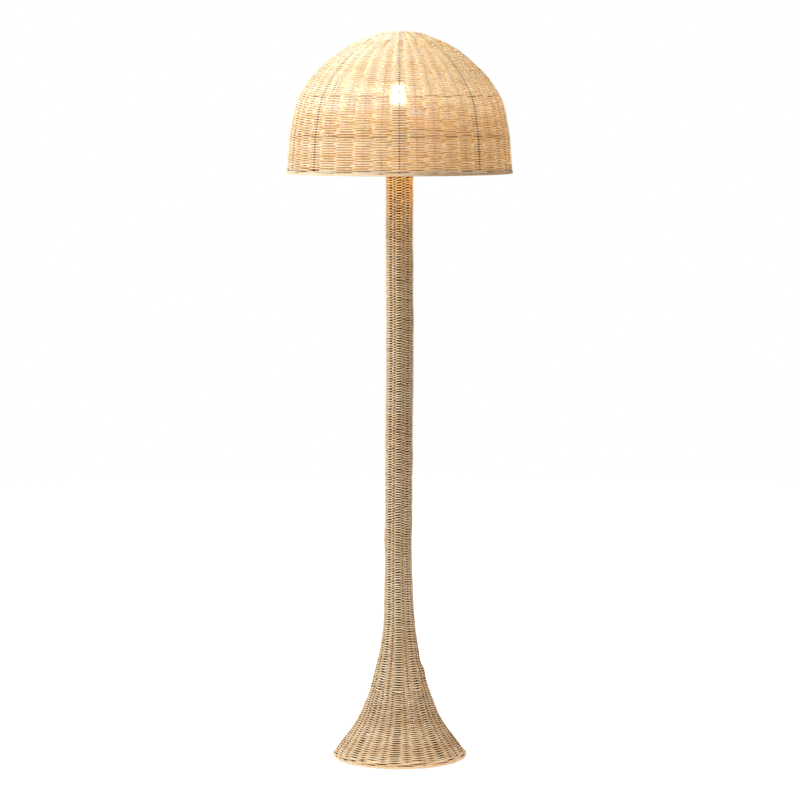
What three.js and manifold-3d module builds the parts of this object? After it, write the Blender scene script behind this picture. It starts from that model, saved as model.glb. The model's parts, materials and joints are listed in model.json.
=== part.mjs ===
// Woven rattan floor lamp: a domed shade on a slim column that flares into a weighted foot.
// Millimetres, +Z up, origin on the floor under the column, front towards -Y.
import * as THREE from 'three';
import { mergeVertices } from 'three/addons/utils/BufferGeometryUtils.js';
import Module from 'manifold-3d';

const wasm = await Module();
wasm.setup();

// Whole lamp
const lampHeight = 1500;
const shadeHeight = 290.5; // rim's underside to crown
const shadeRadius = 232;
const footRadius = 139;
const flareHeight = 404; // hem to the height where the column runs straight
const columnRadius = 29.6;
const hemClearance = 2; // floor to hem
const seatGap = 0.3; // space kept between pieces that touch

// Weave and wire frame
const weaveThickness = 2.5; // the half of the weave that lies outside the wires
const weaveValley = 1.5; // how far the weave draws in between two stakes
const shadeStakeCount = 40;
const columnStakeCount = 16;
const footStakeCount = 32;
const frameWireCount = 8;
const frameWireRadius = 1.5;
const ringWireRadius = 1.5;
const hemRodRadius = 2.5;
const rimRodRadius = 2.3;
const wireEndMargin = 2; // from a wire's end to the rod that closes the weave
const weldDepth = 0.6; // how far welded wires and plates run into each other
const columnWeaveDrop = 4; // top of the column's weave below the top disc
const addedStakeHeight = 145; // where more stakes are let in for the foot
const topRingDrop = 6; // top ring below the column's top disc
const crownRingRadius = 44;
const ribTopRadius = 38;

// Shade carrier
const spokeCount = 4;
const spokeRadius = 1.5;
const spokeRise = 10; // from the middle ring up to the fitter ring
const fitterWidth = 7;
const fitterThickness = 2;
const fitterPlay = 0.4; // round the lampholder's sleeve
const nutWidth = 5.5;
const nutHeight = 8;

// Lampholder
const sleeveRadius = 19.6;
const sleeveWall = 3.4;
const sleeveHeight = 40; // above its flange
const sleeveFloor = 1.7;
const flangeWidth = 3;
const flangeThickness = 3;
const wireHoleRadius = 6;
const capHeight = 22;
const capWall = 3;
const capOverhang = 0.9; // cap's radius beyond the sleeve's
const capNeckRadius = 9;
const capShoulderHeight = 8;
const insertHeight = 12;
const insertCollarHeight = 3;
const shellRadius = 14.2;
const shellWall = 0.6;
const shellHeight = 24.7;
const contactRadius = 4;
const contactHeight = 6;

// Bulb
const bulbLength = 78;
const bulbRadius = 22.5;
const bulbCapRadius = 13;
const bulbCapLength = 21.7;
const bulbThreadDepth = 0.8;
const bulbThreadCount = 5;
const bulbTipRadius = 5;
const bulbTipHeight = 1.2;
const insulatorHeight = 3;
const bulbNeckRadius = 12.3;
const bulbNeckLength = 5;
const neckAngle = THREE.MathUtils.degToRad(40); // below the globe's middle, where the neck meets it

// Pole and its fittings
const poleRadius = 9.5;
const poleWall = 1.2;
const nippleRadius = 5;
const nippleWall = 1.5;
const nippleGrip = 20; // length held in the pole
const nippleProud = 3; // length inside the lampholder's cap
const plugLength = 18;
const locknutRadius = 8.5;
const locknutHeight = 4;
const topDiscThickness = 2.5;

// Weight and feet
const plateRadius = 116;
const plateThickness = 10;
const plateChamfer = 1.5;
const padCount = 4;
const padRadius = 12;
const padHeight = 3;
const padCircle = 92;
const socketRadius = 32;
const socketFloor = 5;
const socketHeight = 17;
const socketWall = 3.2;
const boltRadius = 4;
const boltHeadRadius = 8;
const boltHeadHeight = 4;
const tabCount = 3;
const tabWidth = 14;
const tabLength = 26;
const tabThickness = 2;
const screwRadius = 2;
const screwLength = 6.5;
const screwHeadRadius = 3.8;
const screwHeadHeight = 2.2;
const grubScrewRadius = 2.5;
const grubScrewProud = 1;

// Flex inside the pole and its way out at the back
const flexRadius = 2.8;
const flexBendRadius = 36;
const exitHeight = 28;
const exitAngle = THREE.MathUtils.degToRad(196.875); // between two stakes at the back
const slotMargin = 0.8; // from the flex to the pole's slot at each side
const slotHeight = 23;
const slotLift = 2; // slot above the socket
const bushRadius = 6.5;
const bushBore = 3.4;
const bushLength = 20;
const bushLipRadius = 8;
const bushLipThickness = 2.5;

// How finely round shapes are divided
const shadeSides = 40;
const footSides = 24;
const fittingSides = 24;
const smallSides = 12;
const bulbSides = 16;
const wireSides = 5;
const hexSides = 6;
const ringSteps = 32;
const smallRingSteps = 16;
const shadeOutlineSteps = 14;
const flareOutlineSteps = 12;
const arcSteps = 8;
const cutOverrun = 5; // how far a cutter reaches past what it cuts

// Foot's outline from the hem up: shares of the radius that the flare adds and of its height
const flareShares = [
  [1, 0],
  [0.929, 0.04],
  [0.816, 0.082],
  [0.675, 0.135],
  [0.53, 0.195],
  [0.403, 0.27],
  [0.29, 0.357],
  [0.184, 0.457],
  [0.096, 0.57],
  [0.041, 0.695],
  [0.016, 0.832],
  [0, 1],
];

// Shade's outline from the rim to the crown: shares of its radius and of its height
const shadeShares = [
  [1, 0],
  [0.989, 0.094],
  [0.982, 0.198],
  [0.972, 0.27],
  [0.958, 0.34],
  [0.932, 0.444],
  [0.887, 0.549],
  [0.802, 0.653],
  [0.732, 0.72],
  [0.64, 0.791],
  [0.526, 0.862],
  [0.405, 0.918],
  [0.281, 0.96],
  [0.17, 0.988],
  [0, 1],
];

// Heights of the shade's rings as shares of its height, and of the column's as shares of its length
const rimRingShare = 0.034;
const middleRingShare = 0.266;
const shoulderRingShare = 0.539;
const upperRingShare = 0.838;
const columnRingShares = [0.29, 0.51, 0.75];

// Share of a turn by which spokes, tabs and pads stand away from the front
const spokeTurnShare = 1 / 8;
const tabTurnShare = 1 / 16;
const padTurnShare = 1 / 8;

const finishes = {
  rattan: new THREE.MeshStandardMaterial({ color: 0xd8b483, roughness: 0.62, metalness: 0 }),
  wire: new THREE.MeshStandardMaterial({ color: 0x2b211b, roughness: 0.5, metalness: 0.6 }),
  weight: new THREE.MeshStandardMaterial({ color: 0x26262a, roughness: 0.6, metalness: 0.4 }),
  zinc: new THREE.MeshStandardMaterial({ color: 0xb9bcc0, roughness: 0.35, metalness: 1 }),
  felt: new THREE.MeshStandardMaterial({ color: 0x3a3836, roughness: 0.95, metalness: 0 }),
  plastic: new THREE.MeshStandardMaterial({ color: 0x1c1c1e, roughness: 0.45, metalness: 0 }),
  porcelain: new THREE.MeshStandardMaterial({ color: 0xf1eee6, roughness: 0.3, metalness: 0 }),
  brass: new THREE.MeshStandardMaterial({ color: 0xc9a24c, roughness: 0.3, metalness: 1 }),
  nickel: new THREE.MeshStandardMaterial({ color: 0xc8c6c0, roughness: 0.3, metalness: 1 }),
  opal: new THREE.MeshStandardMaterial({ color: 0xfff4df, roughness: 0.35, metalness: 0 }),
  flex: new THREE.MeshStandardMaterial({ color: 0x202022, roughness: 0.6, metalness: 0 }),
};

const lamp = new THREE.Group();

const heightOf = (point) => point.y;
const radiusOf = (point) => point.x;
const pair = (radius, height) => new THREE.Vector2(radius, height);

// Closed mesh with shared vertices, no slivers on the axis, and faces turned outwards
function closeUp(geometry) {
  const bare = new THREE.BufferGeometry();
  bare.setAttribute('position', geometry.getAttribute('position'));
  bare.setIndex(geometry.getIndex());
  const merged = mergeVertices(bare);
  const place = merged.getAttribute('position');
  const corners = merged.getIndex().array;
  const faces = [];
  let volume = 0;
  for (let i = 0; i < corners.length; i += 3) {
    const face = [corners[i], corners[i + 1], corners[i + 2]];
    if (new Set(face).size === 3) {
      const [a, b, c] = face.map((corner) => new THREE.Vector3().fromBufferAttribute(place, corner));
      volume += a.dot(b.cross(c));
      faces.push(face);
    }
  }
  merged.setIndex(faces.flatMap(([a, b, c]) => (volume > 0 ? [a, b, c] : [a, c, b])));
  return merged;
}

// Solid turned about +Z from points of radius and height
function revolve(outline, sides = fittingSides) {
  return closeUp(new THREE.LatheGeometry(outline, sides).rotateX(Math.PI / 2));
}

// Ring of rectangular section
function collar(innerRadius, outerRadius, low, high, sides = fittingSides) {
  const corners = [
    pair(innerRadius, low),
    pair(outerRadius, low),
    pair(outerRadius, high),
    pair(innerRadius, high),
    pair(innerRadius, low),
  ];
  return revolve(corners, sides);
}

// Upright cylinder
function cylinder(radius, low, high, sides = smallSides) {
  return revolve([pair(0, low), pair(radius, low), pair(radius, high), pair(0, high)], sides);
}

// Hexagonal nut with a round bore
function hexNut(bore, cornerRadius, low, height) {
  const hole = cylinder(bore, low - cutOverrun, low + height + cutOverrun);
  return cut(cylinder(cornerRadius, low, low + height, hexSides), [hole]);
}

// Ring of round wire about +Z, through a point of radius and height
function hoop(point, wireRadius, steps = ringSteps) {
  return closeUp(new THREE.TorusGeometry(point.x, wireRadius, wireSides, steps)).translate(0, 0, point.y);
}

// Path from point to point, so that a tube has a section at each of them
class PointPath extends THREE.Curve {
  constructor(points) {
    super();
    this.points = points;
  }

  getPoint(t, target = new THREE.Vector3()) {
    const place = t * (this.points.length - 1);
    const start = Math.min(Math.floor(place), this.points.length - 2);
    return target.lerpVectors(this.points[start], this.points[start + 1], place - start);
  }

  getPointAt(u, target) {
    return this.getPoint(u, target);
  }

  getTangentAt(u, target) {
    return this.getTangent(u, target);
  }

  getSpacedPoints(divisions) {
    return this.getPoints(divisions);
  }
}

// Round wire along an outline of radius and height that stands at an angle from the front
function wireAlong(outline, radius, angle, sides = wireSides) {
  const points = outline.map(({ x, y }) => new THREE.Vector3(x * Math.sin(angle), -x * Math.cos(angle), y));
  const section = new THREE.Shape();
  section.setFromPoints(
    Array.from({ length: sides }, (_, i) => {
      const turn = (2 * Math.PI * i) / sides;
      return pair(radius * Math.cos(turn), radius * Math.sin(turn));
    }),
  );
  const tube = { steps: points.length - 1, extrudePath: new PointPath(points) };
  return closeUp(new THREE.ExtrudeGeometry(section, tube));
}

// Copies of a solid built at the front, turned about +Z to even places
function spread(geometry, count, turnShare = 0) {
  const turns = Array.from({ length: count }, (_, i) => turnShare + i / count);
  return turns.map((turn) => geometry.clone().rotateZ(2 * Math.PI * turn));
}

function toManifold(geometry) {
  const vertProperties = Float32Array.from(geometry.getAttribute('position').array);
  const triVerts = Uint32Array.from(geometry.getIndex().array);
  return new wasm.Manifold(new wasm.Mesh({ numProp: 3, vertProperties, triVerts }));
}

// Solid with holes in it
function cut(geometry, cutters) {
  const whole = toManifold(geometry);
  return fromManifold(cutters.map(toManifold).reduce((rest, cutter) => rest.subtract(cutter), whole));
}

// Pieces that run into each other, made one
function weld(geometries) {
  return fromManifold(geometries.map(toManifold).reduce((whole, piece) => whole.add(piece)));
}

function fromManifold(solid) {
  const { vertProperties, triVerts } = solid.getMesh();
  const result = new THREE.BufferGeometry();
  result.setAttribute('position', new THREE.BufferAttribute(vertProperties, 3));
  result.setIndex(Array.from(triVerts));
  return result;
}

// Outline moved inwards by a distance, square to itself
function inset(outline, distance) {
  return outline.map((point, i) => {
    const before = outline[Math.max(i - 1, 0)];
    const after = outline[Math.min(i + 1, outline.length - 1)];
    const along = after.clone().sub(before).normalize();
    return pair(Math.max(point.x - distance * along.y, 0), point.y + distance * along.x);
  });
}

// Stretch of an outline on which a measure lies between two limits
function stretch(outline, measure, low, high = Infinity) {
  const kept = [];
  outline.forEach((point, i) => {
    if (measure(point) >= low && measure(point) <= high) kept.push(point.clone());
    const next = outline[i + 1];
    if (!next) return;
    [low, high]
      .map((limit) => (limit - measure(point)) / (measure(next) - measure(point)))
      .filter((crossing) => crossing > 0 && crossing < 1)
      .sort((a, b) => a - b)
      .forEach((crossing) => kept.push(point.clone().lerp(next, crossing)));
  });
  return kept;
}

const atHeight = (outline, height) => stretch(outline, heightOf, height)[0];
const atRadius = (outline, radius) => stretch(outline, radiusOf, radius).at(-1);

function addPart(name, geometry, finish) {
  const mesh = new THREE.Mesh(geometry, finishes[finish].clone());
  mesh.name = name;
  mesh.geometry.computeVertexNormals();
  lamp.add(mesh);
}

// Levels, worked out from the shade down to the column and from the floor up
const wireDepth = weaveThickness + seatGap + frameWireRadius;
const ringDepth = wireDepth + frameWireRadius + seatGap + ringWireRadius;
const shadeBase = lampHeight - shadeHeight;
const shadeLevel = (share) => shadeBase + shadeHeight * share;

const shadeOutline = new THREE.SplineCurve(
  shadeShares.map(([across, up]) => pair(shadeRadius * across, shadeLevel(up))),
).getPoints(shadeOutlineSteps);
const shadeRingLine = inset(shadeOutline, ringDepth);
const middleRing = atHeight(shadeRingLine, shadeLevel(middleRingShare));

const spokeSeat = middleRing.y + ringWireRadius + seatGap + spokeRadius;
const spokeHub = spokeSeat + spokeRise;
const fitterBottom = spokeHub - fitterThickness / 2;
const fitterTop = fitterBottom + fitterThickness;
const flangeTop = fitterBottom - seatGap;
const sleeveBottom = flangeTop - flangeThickness;
const insertBottom = sleeveBottom + sleeveFloor + seatGap;
const shellBottom = insertBottom + insertHeight + seatGap;
const bulbTip = shellBottom + contactHeight + seatGap;
const capTop = sleeveBottom - seatGap;
const capBottom = capTop - capHeight;
const locknutBottom = capBottom - seatGap - locknutHeight;
const topDiscBottom = locknutBottom - seatGap - topDiscThickness;
const poleTop = topDiscBottom - seatGap;

const plateBottom = padHeight + seatGap;
const plateTop = plateBottom + plateThickness;
const socketBottom = plateTop + seatGap;
const socketTop = socketBottom + socketHeight;
const tabBottom = plateTop + seatGap;
const tabTop = tabBottom + tabThickness;

const flareOutline = new THREE.SplineCurve(
  flareShares.map(([across, up]) =>
    pair(columnRadius + (footRadius - columnRadius) * across, hemClearance + flareHeight * up),
  ),
).getPoints(flareOutlineSteps);
const standOutline = [...flareOutline, pair(columnRadius, poleTop)];
const standWireLine = inset(standOutline, wireDepth);
const standRingLine = inset(standOutline, ringDepth);
const baseRing = atHeight(standRingLine, tabTop - weldDepth + ringWireRadius);

const fitterBore = sleeveRadius + fitterPlay;
const socketBore = poleRadius + seatGap;
const nippleBore = nippleRadius + seatGap;
const tabScrewCircle = baseRing.x - tabLength + tabWidth / 2;

// Half of the weave between two levels, outside the wires: it stands out over each stake
// and draws in between two of them, up to the radius within which it lies smooth
function wovenSkin(outline, low, high, stakeCount, smoothRadius = 0) {
  const outside = stretch(outline, heightOf, low, high);
  const inside = stretch(inset(outline, weaveThickness), heightOf, low, high);
  const section = [...outside, ...inside.reverse(), outside[0]];
  const valley = inset(outside, weaveValley).map((point, i) => {
    const share = smoothRadius ? THREE.MathUtils.clamp(outside[i].x / smoothRadius - 1, 0, 1) : 1;
    const drawnIn = outside[i].clone().lerp(point, share);
    return i === 0 || i === outside.length - 1 ? pair(drawnIn.x, outside[i].y) : drawnIn;
  });
  const skin = new THREE.LatheGeometry(section, 2 * stakeCount);
  const place = skin.getAttribute('position');
  for (let row = 1; row < 2 * stakeCount; row += 2) {
    section.forEach((point, corner) => {
      const lower = valley[corner % (section.length - 1)];
      if (!lower || !lower.x) return;
      const at = row * section.length + corner;
      const share = lower.x / point.x;
      place.setXYZ(at, place.getX(at) * share, lower.y, place.getZ(at) * share);
    });
  }
  return closeUp(skin.rotateX(Math.PI / 2));
}

function weightPlate() {
  const outline = [
    pair(0, plateBottom),
    pair(plateRadius - plateChamfer, plateBottom),
    pair(plateRadius, plateBottom + plateChamfer),
    pair(plateRadius, plateTop - plateChamfer),
    pair(plateRadius - plateChamfer, plateTop),
    pair(0, plateTop),
  ];
  const hole = cylinder(screwRadius + seatGap, plateBottom - cutOverrun, plateTop + cutOverrun);
  const tabHoles = spread(hole.translate(0, -tabScrewCircle, 0), tabCount, tabTurnShare);
  return cut(revolve(outline, ringSteps), [...tabHoles, boltSpace()]);
}

// Room for the countersunk bolt, with its clearance
function boltSpace() {
  const outline = [
    pair(0, plateBottom - cutOverrun),
    pair(boltHeadRadius + seatGap, plateBottom - cutOverrun),
    pair(boltHeadRadius + seatGap, plateBottom),
    pair(boltRadius + seatGap, plateBottom + boltHeadHeight),
    pair(boltRadius + seatGap, socketBottom + socketFloor + cutOverrun),
    pair(0, socketBottom + socketFloor + cutOverrun),
  ];
  return revolve(outline, smallSides);
}

// Bolt that draws the socket down on the weight from below
function socketBolt() {
  const outline = [
    pair(0, plateBottom),
    pair(boltHeadRadius, plateBottom),
    pair(boltRadius, plateBottom + boltHeadHeight),
    pair(boltRadius, socketBottom + socketFloor),
    pair(0, socketBottom + socketFloor),
  ];
  return revolve(outline, smallSides);
}

// Pan-head screw whose head stands on a level, at a distance in front of the axis
function panScrew(level, distance) {
  const outline = [
    pair(0, level - screwLength),
    pair(screwRadius, level - screwLength),
    pair(screwRadius, level),
    pair(screwHeadRadius, level),
    pair(screwHeadRadius, level + screwHeadHeight / 2),
    pair(screwHeadRadius - screwHeadHeight / 2, level + screwHeadHeight),
    pair(0, level + screwHeadHeight),
  ];
  return revolve(outline, smallSides).translate(0, -distance, 0);
}

// Flanged cup that holds the pole upright on the weight
function poleSocket() {
  const floor = socketBottom + socketFloor;
  const outline = [
    pair(0, socketBottom),
    pair(socketRadius, socketBottom),
    pair(socketRadius, floor),
    pair(socketBore + socketWall, floor),
    pair(socketBore + socketWall, socketTop),
    pair(socketBore, socketTop),
    pair(socketBore, floor),
    pair(0, floor),
  ];
  const grubHole = radialCylinder(grubScrewRadius + seatGap, 0, socketRadius).translate(0, 0, grubHeight());
  return cut(revolve(outline), [boltSpace(), grubHole]);
}

// Level cylinder that points forwards from the axis
function radialCylinder(radius, start, end) {
  return cylinder(radius, start, end).rotateX(Math.PI / 2);
}

function grubHeight() {
  return (socketBottom + socketFloor + socketTop) / 2;
}

function grubScrew() {
  const start = poleRadius + seatGap;
  const end = socketBore + socketWall + grubScrewProud;
  return radialCylinder(grubScrewRadius, start, end).translate(0, 0, grubHeight());
}

// Steel tube with a tapped plug brazed into its top and a slot low at the back, where the flex comes out
function pole() {
  const bottom = socketBottom + socketFloor + seatGap;
  const outline = [
    pair(poleRadius - poleWall, bottom),
    pair(poleRadius, bottom),
    pair(poleRadius, poleTop),
    pair(nippleBore, poleTop),
    pair(nippleBore, poleTop - plugLength),
    pair(poleRadius - poleWall, poleTop - plugLength),
    pair(poleRadius - poleWall, bottom),
  ];
  const slotWidth = 2 * (flexRadius + slotMargin);
  const slotBottom = socketTop + slotLift;
  const slot = closeUp(new THREE.BoxGeometry(slotWidth, poleRadius + cutOverrun, slotHeight));
  slot.translate(0, -(poleRadius + cutOverrun) / 2, slotBottom + slotHeight / 2);
  return cut(revolve(outline), [slot.rotateZ(exitAngle)]);
}

// Ring round the weight, with the short straps welded under it that are screwed to the weight
function baseRingWithTabs() {
  const strap = closeUp(new THREE.BoxGeometry(tabWidth, tabLength, tabThickness));
  strap.translate(0, -(baseRing.x - tabLength / 2), tabBottom + tabThickness / 2);
  const hole = cylinder(screwRadius + seatGap, tabBottom - cutOverrun, tabTop + cutOverrun);
  const tab = cut(strap, [hole.translate(0, -tabScrewCircle, 0)]);
  return weld([hoop(baseRing, ringWireRadius), ...spread(tab, tabCount, tabTurnShare)]);
}

// Down the pole, round through its slot and out to the bush at the back
function flexRoute() {
  const bend = Array.from({ length: arcSteps + 1 }, (_, i) => {
    const turn = ((Math.PI / 2) * i) / arcSteps;
    return pair(flexBendRadius * (1 - Math.cos(turn)), exitHeight + flexBendRadius * (1 - Math.sin(turn)));
  });
  return [pair(0, insertBottom - seatGap), ...bend, pair(bushEnd() - bushLipThickness, exitHeight)];
}

function bushEnd() {
  return atHeight(standOutline, exitHeight - bushLipRadius).x + seatGap + bushLipThickness;
}

function cordBush() {
  const end = bushEnd();
  const outline = [
    pair(bushBore, end - bushLength),
    pair(bushRadius, end - bushLength),
    pair(bushRadius, end - bushLipThickness),
    pair(bushLipRadius, end - bushLipThickness),
    pair(bushLipRadius - bushLipThickness / 2, end),
    pair(bushBore, end),
    pair(bushBore, end - bushLength),
  ];
  return revolve(outline, 2 * arcSteps).rotateX(Math.PI / 2).translate(0, 0, exitHeight).rotateZ(exitAngle);
}

function wovenFoot() {
  const low = hemClearance + 2 * hemRodRadius + seatGap;
  const skin = wovenSkin(standOutline, low, addedStakeHeight, footStakeCount);
  const start = bushEnd() - bushLength - cutOverrun;
  const hole = radialCylinder(bushRadius + seatGap, start, bushEnd() + cutOverrun);
  return cut(skin, [hole.translate(0, 0, exitHeight).rotateZ(exitAngle)]);
}

// Bottom cup of the lampholder, which takes the threaded nipple
function holderCap() {
  const radius = sleeveRadius + capOverhang;
  const bore = nippleRadius + seatGap;
  const outline = [
    pair(bore, capBottom),
    pair(capNeckRadius, capBottom),
    pair(radius, capBottom + capShoulderHeight),
    pair(radius, capTop),
    pair(radius - capWall, capTop),
    pair(radius - capWall, capBottom + capShoulderHeight),
    pair(capNeckRadius, capBottom + capWall),
    pair(bore, capBottom + capWall),
    pair(bore, capBottom),
  ];
  return revolve(outline);
}

// Outer sleeve of the lampholder, with the flange that the shade's fitter ring stands on
function holderSleeve() {
  const top = flangeTop + sleeveHeight;
  const bore = sleeveRadius - sleeveWall;
  const outline = [
    pair(wireHoleRadius, sleeveBottom),
    pair(sleeveRadius + flangeWidth, sleeveBottom),
    pair(sleeveRadius + flangeWidth, flangeTop),
    pair(sleeveRadius, flangeTop),
    pair(sleeveRadius, top),
    pair(bore, top),
    pair(bore, sleeveBottom + sleeveFloor),
    pair(wireHoleRadius, sleeveBottom + sleeveFloor),
    pair(wireHoleRadius, sleeveBottom),
  ];
  return revolve(outline);
}

// Porcelain core that carries the threaded shell and the centre contact
function holderInsert() {
  const radius = sleeveRadius - sleeveWall - seatGap;
  const shellGap = shellRadius + seatGap;
  const top = insertBottom + insertHeight;
  const outline = [
    pair(0, insertBottom),
    pair(radius, insertBottom),
    pair(radius, top + insertCollarHeight),
    pair(shellGap, top + insertCollarHeight),
    pair(shellGap, top),
    pair(0, top),
  ];
  return revolve(outline);
}

// Flat fitter ring with the wires welded to it that reach out to the middle ring
function shadeSpider() {
  const edge = sleeveRadius + fitterWidth;
  const line = [pair(edge - weldDepth, spokeHub), pair(middleRing.x, spokeSeat)];
  const spokes = spread(wireAlong(line, spokeRadius, 0), spokeCount, spokeTurnShare);
  return weld([collar(fitterBore, edge, fitterBottom, fitterTop), ...spokes]);
}

// Screw cap of the bulb, its thread drawn as even ridges
function bulbCap() {
  const bottom = bulbTip + bulbTipHeight + seatGap + insulatorHeight + seatGap;
  const pitch = bulbCapLength / (bulbThreadCount + 1);
  const ridges = Array.from({ length: 2 * bulbThreadCount + 1 }, (_, i) =>
    pair(bulbCapRadius - (i % 2 ? 0 : bulbThreadDepth), bottom + (pitch * (i + 1)) / 2),
  );
  const foot = pair(bulbCapRadius - 2 * bulbThreadDepth, bottom);
  const top = bulbCapTop();
  return revolve([pair(0, bottom), foot, ...ridges, pair(bulbCapRadius, top), pair(0, top)], bulbSides);
}

function bulbCapTop() {
  return bulbTip + bulbTipHeight + insulatorHeight + 2 * seatGap + bulbCapLength;
}

function bulbInsulator() {
  const bottom = bulbTip + bulbTipHeight + seatGap;
  const top = bottom + insulatorHeight;
  const brim = bulbCapRadius - 2 * bulbThreadDepth;
  return revolve([pair(0, bottom), pair(bulbTipRadius, bottom), pair(brim, top), pair(0, top)]);
}

function bulbGlass() {
  const centre = bulbTip + bulbLength - bulbRadius;
  const neck = bulbCapTop() + seatGap;
  const globe = Array.from({ length: 2 * arcSteps + 1 }, (_, i) => {
    const turn = -neckAngle + ((Math.PI / 2 + neckAngle) * i) / (2 * arcSteps);
    return pair(Math.max(bulbRadius * Math.cos(turn), 0), centre + bulbRadius * Math.sin(turn));
  });
  globe[globe.length - 1].x = 0;
  const collarTop = pair(bulbNeckRadius, neck + bulbNeckLength);
  return revolve([pair(0, neck), pair(bulbNeckRadius, neck), collarTop, ...globe], bulbSides);
}

// Weight, feet and pole
addPart('weight_plate', weightPlate(), 'weight');
const footPad = cylinder(padRadius, 0, padHeight, ringSteps / 2).translate(0, -padCircle, 0);
spread(footPad, padCount, padTurnShare).forEach((pad, i) => addPart(`foot_pad_${i + 1}`, pad, 'felt'));
addPart('pole_socket', poleSocket(), 'zinc');
addPart('socket_bolt', socketBolt(), 'zinc');
addPart('grub_screw', grubScrew(), 'zinc');
addPart('pole', pole(), 'zinc');

// Top of the pole
const nippleTop = capBottom + capWall + nippleProud;
addPart('nipple', collar(nippleRadius - nippleWall, nippleRadius, poleTop - nippleGrip, nippleTop), 'zinc');
const topDiscRadius = columnRadius - weaveThickness;
const topDisc = collar(nippleBore, topDiscRadius, topDiscBottom, topDiscBottom + topDiscThickness);
addPart('column_top_disc', topDisc, 'wire');
addPart('locknut', hexNut(nippleBore, locknutRadius, locknutBottom, locknutHeight), 'zinc');

// Flex and its bush
addPart('inner_flex', wireAlong(flexRoute(), flexRadius, exitAngle), 'flex');
addPart('cord_bush', cordBush(), 'plastic');

// Wire frame of the foot and column
const standWires = stretch(standWireLine, heightOf, hemClearance + 2 * hemRodRadius + wireEndMargin, poleTop);
for (let i = 0; i < frameWireCount; i += 1) {
  const angle = (2 * Math.PI * i) / frameWireCount;
  addPart(`column_wire_${i + 1}`, wireAlong(standWires, frameWireRadius, angle), 'wire');
}
addPart('base_ring', baseRingWithTabs(), 'wire');
const tabScrew = panScrew(tabTop + seatGap, tabScrewCircle);
spread(tabScrew, tabCount, tabTurnShare).forEach((screw, i) => addPart(`tab_screw_${i + 1}`, screw, 'zinc'));
addPart('flare_ring', hoop(atHeight(standRingLine, addedStakeHeight), ringWireRadius, footSides), 'wire');
const columnRing = (height) => hoop(atHeight(standRingLine, height), ringWireRadius, smallRingSteps);
columnRingShares.forEach((share, i) => addPart(`column_ring_${i + 1}`, columnRing(poleTop * share), 'wire'));
addPart('column_top_ring', columnRing(poleTop - topRingDrop), 'wire');

// Weave of the foot and column
addPart('woven_foot', wovenFoot(), 'rattan');
const columnWeaveTop = poleTop - columnWeaveDrop;
const columnWeave = wovenSkin(standOutline, addedStakeHeight + seatGap, columnWeaveTop, columnStakeCount);
addPart('woven_column', columnWeave, 'rattan');
const hemRod = pair(footRadius - hemRodRadius, hemClearance + hemRodRadius);
addPart('foot_hem', hoop(hemRod, hemRodRadius), 'rattan');

// Lampholder
addPart('holder_cap', holderCap(), 'plastic');
addPart('holder_sleeve', holderSleeve(), 'plastic');
addPart('holder_insert', holderInsert(), 'porcelain');
const threadedShell = collar(shellRadius - shellWall, shellRadius, shellBottom, shellBottom + shellHeight);
addPart('holder_shell', threadedShell, 'brass');
addPart('holder_contact', cylinder(contactRadius, shellBottom, shellBottom + contactHeight), 'brass');

// Shade
const shadeWeaveBottom = shadeBase + 2 * rimRodRadius + seatGap;
const shadeWeave = wovenSkin(shadeOutline, shadeWeaveBottom, lampHeight, shadeStakeCount, crownRingRadius);
addPart('woven_shade', shadeWeave, 'rattan');
const rimRod = pair(shadeRadius - rimRodRadius, shadeBase + rimRodRadius);
addPart('shade_rim', hoop(rimRod, rimRodRadius, shadeSides), 'rattan');
const ribBottom = shadeBase + 2 * rimRodRadius + wireEndMargin;
const ribLine = stretch(stretch(inset(shadeOutline, wireDepth), heightOf, ribBottom), radiusOf, ribTopRadius);
for (let i = 0; i < frameWireCount; i += 1) {
  const angle = (2 * Math.PI * i) / frameWireCount;
  addPart(`shade_rib_${i + 1}`, wireAlong(ribLine, frameWireRadius, angle), 'wire');
}
addPart('crown_ring', hoop(atRadius(shadeRingLine, crownRingRadius), ringWireRadius, footSides), 'wire');
addPart('upper_ring', hoop(atHeight(shadeRingLine, shadeLevel(upperRingShare)), ringWireRadius), 'wire');
addPart('shoulder_ring', hoop(atHeight(shadeRingLine, shadeLevel(shoulderRingShare)), ringWireRadius), 'wire');
addPart('middle_ring', hoop(middleRing, ringWireRadius), 'wire');
addPart('rim_ring', hoop(atHeight(shadeRingLine, shadeLevel(rimRingShare)), ringWireRadius), 'wire');
addPart('shade_spider', shadeSpider(), 'wire');

// Ring nut that holds the shade down
const nutBottom = fitterTop + seatGap;
addPart('ring_nut', collar(fitterBore, sleeveRadius + nutWidth, nutBottom, nutBottom + nutHeight), 'plastic');

// Bulb
addPart('bulb_contact', cylinder(bulbTipRadius, bulbTip, bulbTip + bulbTipHeight), 'nickel');
addPart('bulb_insulator', bulbInsulator(), 'plastic');
addPart('bulb_cap', bulbCap(), 'nickel');
addPart('bulb_glass', bulbGlass(), 'opal');

export default lamp;
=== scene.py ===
import json
import math

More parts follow.
